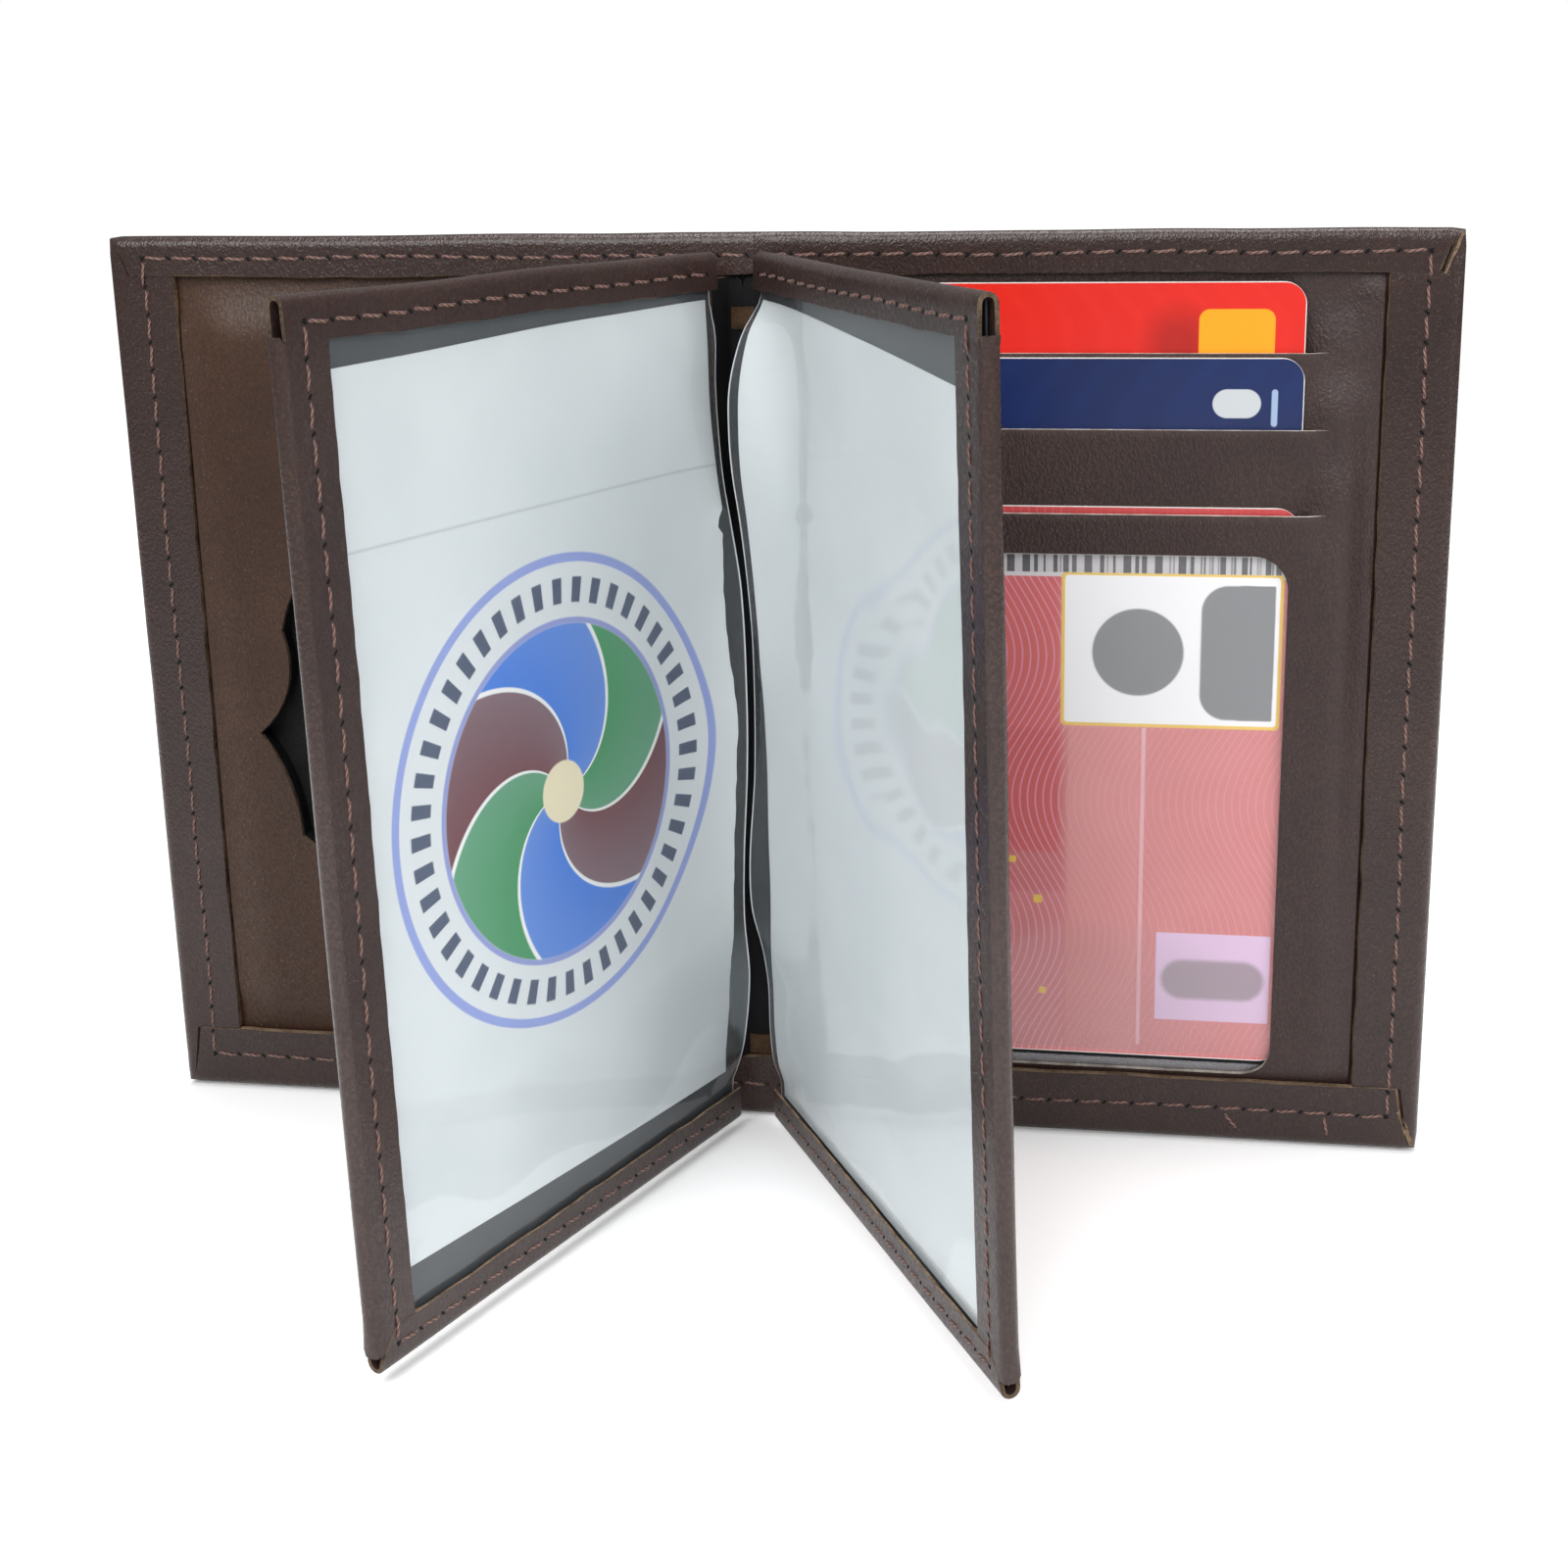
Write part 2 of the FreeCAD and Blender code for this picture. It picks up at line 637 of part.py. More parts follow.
spine()
badge_half()
planes = card_half()
insert_page("left", LEFT, left_lift)
insert_page("right", RIGHT, right_lift)
doc.recompute()
check()
export()
for plane in planes:
    print(f"{plane.name}: leans {plane.angle():.3f} degrees, lower edge at {plane.low.value:.2f}")
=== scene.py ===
"""Looks of an opened leather badge wallet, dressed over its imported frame.

The wallet stands on its lower edge with both covers open and its two pages raised.
Each piece is modelled in millimetres, the right-hand way round, and seat() brings it
to its side, its place and metres.
"""

from __future__ import annotations

import logging
import math
from collections.abc import Callable, Iterator, Sequence
from contextlib import contextmanager
from dataclasses import dataclass, field
from enum import Enum

import bmesh
import bpy
from mathutils import Matrix, Vector, noise
from mathutils.bvhtree import BVHTree

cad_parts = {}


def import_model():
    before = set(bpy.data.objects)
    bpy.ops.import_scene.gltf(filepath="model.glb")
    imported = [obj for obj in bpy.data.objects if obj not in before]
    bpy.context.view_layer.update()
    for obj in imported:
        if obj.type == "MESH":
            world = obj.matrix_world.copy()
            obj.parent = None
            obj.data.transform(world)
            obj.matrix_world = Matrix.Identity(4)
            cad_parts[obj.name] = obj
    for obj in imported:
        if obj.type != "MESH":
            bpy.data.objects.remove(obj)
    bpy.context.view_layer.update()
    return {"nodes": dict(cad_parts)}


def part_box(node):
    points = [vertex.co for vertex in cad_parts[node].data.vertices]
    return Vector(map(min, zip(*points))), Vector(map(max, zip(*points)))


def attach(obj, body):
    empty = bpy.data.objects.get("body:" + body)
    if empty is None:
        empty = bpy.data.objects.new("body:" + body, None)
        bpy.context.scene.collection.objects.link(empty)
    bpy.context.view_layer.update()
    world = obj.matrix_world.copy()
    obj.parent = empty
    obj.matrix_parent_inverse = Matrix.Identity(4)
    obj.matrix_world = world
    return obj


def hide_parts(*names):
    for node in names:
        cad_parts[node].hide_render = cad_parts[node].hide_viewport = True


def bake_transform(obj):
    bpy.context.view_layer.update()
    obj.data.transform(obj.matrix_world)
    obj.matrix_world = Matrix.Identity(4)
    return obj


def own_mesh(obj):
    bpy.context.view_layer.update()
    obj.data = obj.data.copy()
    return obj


LOG = logging.getLogger("badge_wallet")
MM = 0.001
# The cover's rear face, how near a point lies to its line, and when an edge stays crisp
BACK = 1.65
NEAR = 0.01
CRISP_DEGREES = 40.0
FORWARD = Vector((0.0, -1.0, 0.0))
UP = Vector((0.0, 0.0, 1.0))
OUT = Vector((1.0, 0.0, 0.0))
UNMOVED = Matrix.Identity(4)

Piece = bpy.types.Object
Material = bpy.types.Material
Mesh = bpy.types.Mesh
Socket = bpy.types.NodeSocket
Colour = tuple[float, float, float, float]
Spot = tuple[float, float]
Box = tuple[float, float, float, float]
Test = Callable[[Vector], bool]
Rule = Callable[[Vector], Vector]
WHITE: Colour = (1.0, 1.0, 1.0, 1.0)


class Side(Enum):
    """The two halves of the wallet."""

    LEFT = -1
    RIGHT = 1

    @property
    def word(self) -> str:
        """The side's name as it stands in piece names."""
        return self.name.lower()

    @property
    def turn(self) -> Matrix:
        """The matrix that mirrors a right-hand piece to this side."""
        return Matrix.Diagonal((self.value, 1.0, 1.0, 1.0))


class Face(Enum):
    """The two faces of a hide that thread shows on."""

    FRONT = 1
    REAR = -1


# Small sums

def ease(value: float, start: float, end: float) -> float:
    """Rise smoothly from 0 at the start to 1 at the end."""
    share = min(max((value - start) / (end - start), 0.0), 1.0)
    return share * share * (3.0 - 2.0 * share)


def drift(across: float, up: float, size: float, seed: float) -> float:
    """Read a slow, repeatable waver of a given length, from about -1 to 1."""
    return noise.noise(Vector((across / size, seed, up / size)))


def trace(place: float, rows: Sequence[Spot]) -> float:
    """Read a smooth curve that passes through given values.

    Args:
        place: Where to read the curve.
        rows: Places in rising order, each with the curve's value there.

    Returns:
        The value, held at both ends.
    """
    if place <= rows[0][0]:
        return rows[0][1]
    if place >= rows[-1][0]:
        return rows[-1][1]
    at = max(row for row in range(len(rows) - 1) if rows[row][0] <= place)

    def slope(row: int) -> float:
        """Find the curve's slope at one of its rows, level at both ends."""
        if row in (0, len(rows) - 1):
            return 0.0
        (first, low), (last, high) = rows[row - 1], rows[row + 1]
        return (high - low) / (last - first)

    (start, low), (end, high) = rows[at], rows[at + 1]
    width = end - start
    share = (place - start) / width
    return (low + (high - low) * ease(share, 0.0, 1.0) + width * share * (1.0 - share)
            * (slope(at) * (1.0 - share) - slope(at + 1) * share))


def tone(red: int, green: int, blue: int) -> Colour:
    """Turn a colour as it is seen, 0 to 255, into Blender's linear colour.

    Args:
        red: Red share.
        green: Green share.
        blue: Blue share.

    Returns:
        The linear colour with full alpha.
    """
    def linear(part: int) -> float:
        """Turn one share into its linear value."""
        share = part / 255.0
        return share / 12.92 if share <= 0.04045 else ((share + 0.055) / 1.055) ** 2.4

    return (linear(red), linear(green), linear(blue), 1.0)


def spaced(stops: Sequence[float], step: float) -> list[float]:
    """Divide the runs between stops evenly.

    Args:
        stops: Places that a line must fall on, in order.
        step: Longest space between two lines.

    Returns:
        All the lines in order.
    """
    lines = [stops[0]]
    for start, end in zip(stops, stops[1:]):
        count = max(1, math.ceil((end - start) / step - 1e-6))
        lines += [start + (end - start) * part / count for part in range(1, count + 1)]
    return lines


# Modelling steps

def clear_selection() -> None:
    """Leave nothing selected, so that an operator reaches only the new piece."""
    bpy.ops.object.select_all(action="DESELECT")


def take(piece: Piece) -> None:
    """Make one piece the only selected and the active one.

    Args:
        piece: The piece that the next operator acts on.
    """
    clear_selection()
    piece.select_set(True)
    bpy.context.view_layer.objects.active = piece


@contextmanager
def editing(piece: Piece, kind: str = "EDGE") -> Iterator[None]:
    """Open a piece in edit mode with nothing selected.

    Args:
        piece: The piece to edit.
        kind: VERT, EDGE or FACE.

    Yields:
        Nothing; the piece goes back to object mode afterwards.
    """
    take(piece)
    bpy.ops.object.mode_set(mode="EDIT")
    bpy.ops.mesh.select_mode(type=kind)
    bpy.ops.mesh.select_all(action="DESELECT")
    yield
    bpy.ops.object.mode_set(mode="OBJECT")


def pick(piece: Piece, test: Test, border: bool = True) -> None:
    """Select the edges whose two ends both pass a test.

    Args:
        piece: The piece in edit mode.
        test: Says whether a place belongs to the choice.
        border: Whether only open edges count.
    """
    work = bmesh.from_edit_mesh(piece.data)
    for edge in work.edges:
        edge.select_set(False)
    for edge in work.edges:
        if (edge.is_boundary or not border) and all(test(end.co) for end in edge.verts):
            edge.select_set(True)
    bmesh.update_edit_mesh(piece.data)


def pick_long(piece: Piece, axis: int, least: float) -> None:
    """Select the edges that run far along one axis.

    Args:
        piece: The piece in edit mode.
        axis: 0 across, 1 in depth, 2 up.
        least: How far an edge has to run.
    """
    work = bmesh.from_edit_mesh(piece.data)
    for edge in work.edges:
        first, last = (end.co[axis] for end in edge.verts)
        edge.select_set(abs(first - last) > least)
    bmesh.update_edit_mesh(piece.data)


def draw_out(move: Vector) -> None:
    """Extrude the selected edges by one step."""
    bpy.ops.mesh.extrude_edges_move(TRANSFORM_OT_translate={"value": tuple(move)})


def deepen(move: float) -> None:
    """Select all faces of a flat piece and extrude them in depth."""
    bpy.ops.mesh.select_all(action="SELECT")
    bpy.ops.mesh.extrude_region_move(TRANSFORM_OT_translate={"value": (0.0, move, 0.0)})


def curl(outward: Vector, radius: float, steps: int = 7) -> None:
    """Turn the selected edges over in a half round towards the front.

    Args:
        outward: Direction that the edge faces.
        radius: Radius of the middle of the leather.
        steps: Number of strips in the half round.
    """
    for step in range(steps):
        first, last = math.pi * step / steps, math.pi * (step + 1) / steps
        draw_out(outward * (radius * (math.sin(last) - math.sin(first)))
                 + FORWARD * (radius * (math.cos(first) - math.cos(last))))


def stretch(scale: Sequence[float], middle: Sequence[float]) -> None:
    """Resize what is selected about a given middle."""
    bpy.ops.transform.resize(value=tuple(scale), center_override=tuple(middle))


def lay_grid(name: str, columns: Sequence[float], rows: Sequence[float], depth: float) -> Piece:
    """Add a grid that stands facing the front, with its lines at given places.

    Args:
        name: Name of the piece.
        columns: Places of the upright lines.
        rows: Heights of the level lines.
        depth: Depth of the sheet in front of the wallet's back.

    Returns:
        The new sheet.
    """
    clear_selection()
    bpy.ops.mesh.primitive_grid_add(
        x_subdivisions=len(columns) - 1, y_subdivisions=len(rows) - 1, size=2.0,
        location=(0.0, 0.0, 0.0), rotation=(math.pi / 2.0, 0.0, 0.0))
    sheet = bpy.context.object
    sheet.name = name
    bpy.ops.object.transform_apply(location=True, rotation=True, scale=True)
    for corner in sheet.data.vertices:
        column = round((corner.co.x + 1.0) / 2.0 * (len(columns) - 1))
        row = round((corner.co.z + 1.0) / 2.0 * (len(rows) - 1))
        corner.co = (columns[column], BACK - depth, rows[row])
    return sheet


def move_points(piece: Piece, rule: Rule) -> None:
    """Move each point of a piece by a rule, as with a soft brush."""
    for corner in piece.data.vertices:
        corner.co = rule(corner.co.copy())


def apply_step(piece: Piece, step: bpy.types.Modifier) -> None:
    """Apply one modifier to its piece."""
    take(piece)
    bpy.ops.object.modifier_apply(modifier=step.name)


def even_normals(piece: Piece) -> None:
    """Merge doubles and turn all faces the same way.

    Args:
        piece: The open sheet or closed piece.
    """
    with editing(piece, "VERT"):
        bpy.ops.mesh.select_all(action="SELECT")
        bpy.ops.mesh.remove_doubles(threshold=1e-5)
        bpy.ops.mesh.normals_make_consistent(inside=False)


def thicken(piece: Piece, wall: float) -> None:
    """Give a sheet its thickness, half to each side, with the next finish on its cut edge.

    Args:
        piece: The open sheet.
        wall: Thickness in millimetres.
    """
    shell = piece.modifiers.new("wall", "SOLIDIFY")
    shell.thickness = wall
    shell.offset = 0.0
    shell.use_even_offset = True
    shell.use_quality_normals = True
    shell.material_offset_rim = 1
    apply_step(piece, shell)


def cut_out(piece: Piece, cutter: Piece) -> None:
    """Cut one piece with another and remove the cutter.

    Args:
        piece: The piece to cut.
        cutter: The closed shape that is taken away from it.
    """
    knife = piece.modifiers.new("cut", "BOOLEAN")
    knife.operation = "DIFFERENCE"
    knife.solver = "EXACT"
    knife.object = cutter
    apply_step(piece, knife)
    bpy.data.objects.remove(cutter)


def part_off(piece: Piece, name: str, test: Test) -> Piece:
    """Cut a sheet in two along its lines.

    Args:
        piece: The sheet, which keeps the rest.
        name: Name of the part that comes away.
        test: Says whether a face's middle belongs to that part.

    Returns:
        The new part, with its own mesh, map and attributes.
    """
    with editing(piece, "FACE"):
        work = bmesh.from_edit_mesh(piece.data)
        for face in work.faces:
            face.select_set(test(face.calc_center_median()))
        bmesh.update_edit_mesh(piece.data)
        bpy.ops.mesh.separate(type="SELECTED")
    part = next(made for made in bpy.context.selected_objects if made != piece)
    part.name = part.data.name = name
    return part


def loose_mesh(piece: Piece) -> Mesh:
    """Keep a piece's mesh and remove the piece.

    Args:
        piece: The modelled piece.

    Returns:
        Its mesh, to be copied.
    """
    mesh = piece.data
    bpy.data.objects.remove(piece)
    return mesh


def skin_of(piece: Piece) -> BVHTree:
    """Wrap a piece's surface so that things can be laid on it."""
    return BVHTree.FromPolygons([corner.co.copy() for corner in piece.data.vertices],
                                [tuple(face.vertices) for face in piece.data.polygons])


def wear(piece: Piece, *finishes: Material) -> None:
    """Give a piece its finishes in order.

    Args:
        piece: The piece to dress.
        finishes: Its surface first, then its cut edge and what else it has.
    """
    piece.data.materials.clear()
    for finish in finishes:
        piece.data.materials.append(finish)


def mark(piece: Piece, name: str, rule: Callable[[Vector], float]) -> None:
    """Store a value at each point, by a rule, for a finish to read."""
    layer = piece.data.attributes.new(name, "FLOAT", "POINT")
    layer.data.foreach_set("value", [rule(corner.co) for corner in piece.data.vertices])


# Bringing pieces to the frame

def seat(piece: Piece, place: Matrix) -> None:
    """Bring a finished piece to its place in metres and smooth its shading.

    Args:
        piece: The piece, modelled in millimetres.
        place: Its place in millimetres.
    """
    whole = Matrix.Scale(MM, 4) @ place
    piece.data.transform(whole)
    if whole.determinant() < 0.0:
        piece.data.flip_normals()
    take(piece)
    bpy.ops.object.shade_smooth_by_angle(angle=math.radians(CRISP_DEGREES))
    piece.data.update()
    LOG.info("piece %s: %d faces", piece.name, len(piece.data.polygons))


def fit(piece: Piece, place: Matrix, body: str, slot: str, *nodes: str) -> None:
    """Seat a piece that rides on one body.

    Args:
        piece: The piece, modelled in millimetres.
        place: Its place in millimetres.
        body: The body it rides on.
        slot: The slot of its finish; not used.
        nodes: The frame's nodes that it replaces.
    """
    seat(piece, place)
    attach(piece, body)
    if nodes:
        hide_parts(*nodes)


def fit_bend(piece: Piece, place: Matrix,
             bend: tuple[Sequence[float], Sequence[float]]) -> None:
    """Seat a piece and bake its place into its mesh.

    Args:
        piece: The piece, modelled in millimetres.
        place: Its place in millimetres.
        bend: Where the bend starts and ends, in metres; not used.
    """
    seat(piece, place)
    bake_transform(piece)


# Shader building

class Nodes:
    """Short ways to add nodes to one tree."""

    def __init__(self, tree: bpy.types.NodeTree) -> None:
        """Keep the tree that nodes go into."""
        self.tree = tree

    @classmethod
    def fresh(cls, owner: Material | bpy.types.World) -> Nodes:
        """Open an owner's tree with nothing in it.

        Args:
            owner: The new material or world.

        Returns:
            The short ways for its tree.
        """
        owner.use_nodes = True
        owner.node_tree.nodes.clear()
        return cls(owner.node_tree)

    def add(self, kind: str, feeds: dict | None = None, **settings: object) -> bpy.types.Node:
        """Add a node.

        Args:
            kind: Blender's name for the node, without its ShaderNode start.
            feeds: Values or sockets for its inputs, by name or number.
            settings: The node's own settings.

        Returns:
            The new node.
        """
        made = self.tree.nodes.new("ShaderNode" + kind)
        for name, value in settings.items():
            setattr(made, name, value)
        for name, value in (feeds or {}).items():
            if isinstance(value, Socket):
                self.tree.links.new(value, made.inputs[name])
            else:
                made.inputs[name].default_value = value
        return made

    def sum(self, operation: str, *parts: object, clamp: bool = False) -> Socket:
        """Add a Math node and return its result."""
        return self.add("Math", dict(enumerate(parts)), operation=operation,
                        use_clamp=clamp).outputs[0]

    def vector(self, operation: str, *parts: object) -> Socket:
        """Add a Vector Math node and return its vector."""
        return self.add("VectorMath", dict(enumerate(parts)), operation=operation).outputs[0]

    def length(self, vector: Socket) -> Socket:
        """Measure a vector."""
        return self.add("VectorMath", {0: vector}, operation="LENGTH").outputs["Value"]

    def split(self, vector: Socket) -> Sequence[Socket]:
        """Take a vector apart into its three directions."""
        return self.add("SeparateXYZ", {0: vector}).outputs

    def mix(self, share: object, low: object, high: object) -> Socket:
        """Mix two colours and return the colour."""
        return self.add("Mix", {0: share, 6: low, 7: high}, data_type="RGBA").outputs[2]

    def span(self, value: object, low: float, high: float, to_low: float = 0.0,
             to_high: float = 1.0) -> Socket:
        """Map a value from one range to another, held at the ends."""
        return self.add("MapRange", {"Value": value, "From Min": low, "From Max": high,
                                     "To Min": to_low, "To Max": to_high}).outputs[0]

    def cloud(self, place: object, scale: object, detail: float = 3.0) -> Socket:
        """Read a noise of a given scale."""
        return self.add("TexNoise", {"Vector": place, "Scale": scale,
                                     "Detail": detail}).outputs[0]

    def effect(self, effect: Effect, **feeds: object) -> Sequence[Socket]:
        """Place a shared effect with its own values and return its results."""
        return self.add("Group", feeds, node_tree=effect.tree()).outputs

    def mottle(self, place: Socket, size: float) -> Socket:
        """Read the mask of slow clouds of a given size."""
        return self.effect(Effect.MOTTLE, Place=place, Size=size)["Mask"]

    def marked(self, name: str) -> Socket:
        """Read a value that mark() stored on the piece."""
        return self.add("Attribute", attribute_name=name).outputs["Fac"]

    def place(self) -> Socket:
        """Read the place on the piece in millimetres."""
        here = self.add("TexCoord").outputs["Object"]
        return self.add("VectorMath", {0: here, "Scale": 1000.0}, operation="SCALE").outputs[0]

    def own(self, width: float, height: float) -> Socket:
        """Read the place on a sheet's own map, in millimetres."""
        here = self.add("TexCoord").outputs["UV"]
        return self.vector("MULTIPLY", here, (width, height, 0.0))

    def relief(self, height: object, strength: float, distance: float) -> Socket:
        """Turn a height into a normal."""
        return self.add("Bump", {"Height": height, "Strength": strength,
                                 "Distance": distance}).outputs[0]

    def surface(self, colour: Socket, rough: Socket, sheen: float, normal: Socket,
                alpha: object = 1.0) -> Socket:
        """Add the surface shader and return it."""
        return self.add("BsdfPrincipled", {
            "Base Color": colour, "Roughness": rough, "Specular IOR Level": sheen,
            "Normal": normal, "Alpha": alpha}).outputs[0]


class Effect(Enum):
    """Effects that several finishes share, each built once as a node group."""

    GRAIN = "hide_grain"
    MOTTLE = "soft_mottle"
    WEAVE = "cloth_weave"
    PATCH = "rounded_patch"
    LINES = "fine_lines"

    def tree(self) -> bpy.types.NodeTree:
        """Find the group, or build it the first time.

        Returns:
            The effect's node group.
        """
        found = bpy.data.node_groups.get(self.value)
        if found is None:
            found = bpy.data.node_groups.new(self.value, "ShaderNodeTree")
            getattr(EffectShop(found), self.value)()
        return found


class EffectShop:
    """Fills one node group with an effect that reads a place in millimetres."""

    def __init__(self, tree: bpy.types.NodeTree) -> None:
        """Open the group and its two ends.

        Args:
            tree: The empty group.
        """
        self.tree = tree
        self.nodes = Nodes(tree)
        self.given = tree.nodes.new("NodeGroupInput")
        self.result = tree.nodes.new("NodeGroupOutput")

    def takes(self, **starts: object) -> tuple[Nodes, Sequence[Socket]]:
        """Add the inputs: the place, then a value for a number and a vector for a tuple.

        Args:
            starts: The further inputs with their first values.

        Returns:
            The group's nodes, and the sockets of what it is given.
        """
        for name, start in {"Place": (0.0, 0.0, 0.0), **starts}.items():
            kind = "NodeSocketVector" if isinstance(start, tuple) else "NodeSocketFloat"
            made = self.tree.interface.new_socket(name=name, in_out="INPUT", socket_type=kind)
            made.default_value = start
        return self.nodes, self.given.outputs

    def gives(self, **results: Socket) -> None:
        """Add outputs and feed them.

        Args:
            results: What each output puts out.
        """
        for name, socket in results.items():
            self.tree.interface.new_socket(name=name, in_out="OUTPUT",
                                           socket_type="NodeSocketFloat")
            self.tree.links.new(socket, self.result.inputs[name])

    def hide_grain(self) -> None:
        """Slanted pebbles with fine pores, and a mask of stray pale specks that are painted
        glints.
        """
        nodes, given = self.takes(Pebble=0.5)
        scale = nodes.sum("DIVIDE", 1.0, given["Pebble"])
        laid = nodes.add("Mapping", {"Vector": given["Place"], "Rotation": (0.0, 0.65, 0.0),
                                     "Scale": (1.15, 1.0, 0.75)}).outputs[0]
        bent = nodes.vector("ADD", laid, nodes.add("TexNoise", {
            "Vector": given["Place"], "Scale": 0.9, "Detail": 2.0}).outputs[1])
        cells = nodes.add("TexVoronoi", {"Vector": bent, "Scale": scale}, feature="F1")
        dome = nodes.span(cells.outputs["Distance"], 0.05, 0.75, 1.0, 0.0)
        pores = nodes.cloud(given["Place"], nodes.sum("MULTIPLY", scale, 2.3), 2.0)
        height = nodes.sum("MULTIPLY_ADD", pores, 0.4, nodes.sum("MULTIPLY", dome, 0.8))
        # pale specks, painted glints on the pebbles
        specks = nodes.cloud(given["Place"], nodes.sum("MULTIPLY", scale, 1.4), 1.0)
        self.gives(Height=height, Fleck=nodes.span(specks, 0.68, 0.76))

    def soft_mottle(self) -> None:
        """Slow clouds of a given size in millimetres."""
        nodes, given = self.takes(Size=20.0)
        broad = nodes.cloud(given["Place"], nodes.sum("DIVIDE", 1.0, given["Size"]), 4.0)
        self.gives(Mask=nodes.span(broad, 0.3, 0.7))

    def cloth_weave(self) -> None:
        """Threads over and under one another at a given pitch."""
        nodes, given = self.takes(Pitch=0.6)
        rate = nodes.sum("DIVIDE", math.tau, given["Pitch"])
        parts = nodes.split(given["Place"])
        warp, weft = (nodes.sum("SINE", nodes.sum("MULTIPLY", part, rate)) for part in parts[:2])
        self.gives(Height=nodes.sum("MULTIPLY_ADD", nodes.sum("MULTIPLY", warp, weft), 0.5, 0.5))

    def rounded_patch(self) -> None:
        """A mask of a rounded rectangle, read on the sheet's first two directions."""
        nodes, given = self.takes(Middle=(0.0, 0.0, 0.0), Half=(1.0, 1.0, 0.0), Corner=0.5,
                                  Soft=0.15)
        flat = nodes.vector("MULTIPLY", nodes.vector("SUBTRACT", given["Place"],
                                                     given["Middle"]), (1.0, 1.0, 0.0))
        reach = nodes.vector("SUBTRACT", nodes.vector("ABSOLUTE", flat), given["Half"])
        corner = nodes.add("CombineXYZ", {0: given["Corner"], 1: given["Corner"]}).outputs[0]
        over = nodes.vector("MAXIMUM", nodes.vector("ADD", reach, corner), (0.0, 0.0, 0.0))
        gap = nodes.sum("SUBTRACT", nodes.length(over), given["Corner"])
        self.gives(Mask=nodes.sum("SUBTRACT", 1.0, nodes.sum(
            "DIVIDE", nodes.sum("ADD", gap, given["Soft"]), given["Soft"], clamp=True)))

    def fine_lines(self) -> None:
        """Close wavy printed lines at a given pitch, thinner for a higher edge."""
        nodes, given = self.takes(Pitch=0.8, Sway=2.0, Wave=12.0, Edge=0.1)
        parts = nodes.split(given["Place"])

        def swing(along: Socket, length: Socket) -> Socket:
            """Read a sine wave of a given length."""
            return nodes.sum("SINE", nodes.sum("DIVIDE", nodes.sum("MULTIPLY", along, math.tau),
                                               length))

        bend = swing(parts[1], given["Wave"])
        line = swing(nodes.sum("MULTIPLY_ADD", bend, given["Sway"], parts[0]), given["Pitch"])
        self.gives(Mask=nodes.span(line, given["Edge"], 0.95))


@dataclass(frozen=True)
class Finish:
    """A finish of the wallet, built as one material."""

    name: str

    def make(self) -> Material:
        """Build the material.

        Returns:
            The finished material.
        """
        material = bpy.data.materials.new(self.name)
        nodes = Nodes.fresh(material)
        nodes.add("OutputMaterial", {0: self.shader(nodes)})
        return material

    def shader(self, nodes: Nodes) -> Socket:
        """Build the surface; each kind of finish has its own."""
        raise NotImplementedError


@dataclass(frozen=True)
class Leather(Finish):
    """A dyed hide with pebble grain, slow colour clouds, worn edges, painted shade in the grain's
    valleys and painted glints on its pebbles.
    """

    shade: Colour
    light: Colour
    # pale colour of both the painted glints and the worn edges
    wear_and_glint: Colour
    pebble: float = 0.46
    relief: float = 0.6
    rough: float = 0.48
    # how strongly the painted glints show
    fleck: float = 0.25
    wear: float = 0.2
    sheen: float = 0.42
    cloud: float = 17.0
    scuff: float = 2.6
    # colour of the painted shade in the grain's valleys
    valley_shade: Colour = (0.006, 0.004, 0.003, 1.0)

    def shader(self, nodes: Nodes) -> Socket:
        """Lay dye, painted shade in the grain's valleys, painted glints and wear over one another.

        Args:
            nodes: The material's nodes.

        Returns:
            The surface.
        """
        place = nodes.place()
        grain = nodes.effect(Effect.GRAIN, Place=place, Pebble=self.pebble)
        height = grain["Height"]
        scuff = nodes.span(nodes.mottle(place, self.scuff), 0.0, 1.0, 0.35, 1.0)
        worn = nodes.sum("MULTIPLY", nodes.marked("rub_and_film_highlight"), scuff)
        base = nodes.mix(nodes.mottle(place, self.cloud), self.shade, self.light)
        # paint shade into the grain's valleys, darkest where the pebbles are lowest
        base = nodes.mix(nodes.span(height, 0.3, 0.75, 0.42, 0.0), base, self.valley_shade)
        # paint pale glints on the pebbles, then lighten the worn edges with wear
        for mask, share in ((grain["Fleck"], self.fleck), (worn, self.wear)):
            base = nodes.mix(nodes.sum("MULTIPLY", mask, share), base, self.wear_and_glint)
        gloss = nodes.span(height, 0.2, 1.0, self.rough + 0.1, self.rough - 0.06)
        return nodes.surface(base, nodes.sum("MULTIPLY_ADD", worn, -0.12, gloss), self.sheen,
                             nodes.relief(height, self.relief, 0.0002))


@dataclass(frozen=True)
class Fibre(Finish):
    """A dull fibrous surface: a cut edge, suede or foam."""

    shade: Colour
    light: Colour
    hair: float = 0.35
    relief: float = 0.6
    rough: float = 0.9
    sheen: float = 0.2

    def shader(self, nodes: Nodes) -> Socket:
        """Mix fine hair with slow clouds.

        Args:
            nodes: The material's nodes.

        Returns:
            The surface.
        """
        place = nodes.place()
        hair = nodes.cloud(place, 1.0 / self.hair, 4.0)
        mottle = nodes.mottle(place, self.hair * 8.0)
        share = nodes.sum("MULTIPLY_ADD", hair, 0.6, nodes.sum("MULTIPLY", mottle, 0.4))
        return nodes.surface(nodes.mix(nodes.span(share, 0.25, 0.75), self.shade, self.light),
                             nodes.span(hair, 0.2, 0.8, self.rough, self.rough - 0.12),
                             self.sheen, nodes.relief(hair, self.relief, 0.00015))


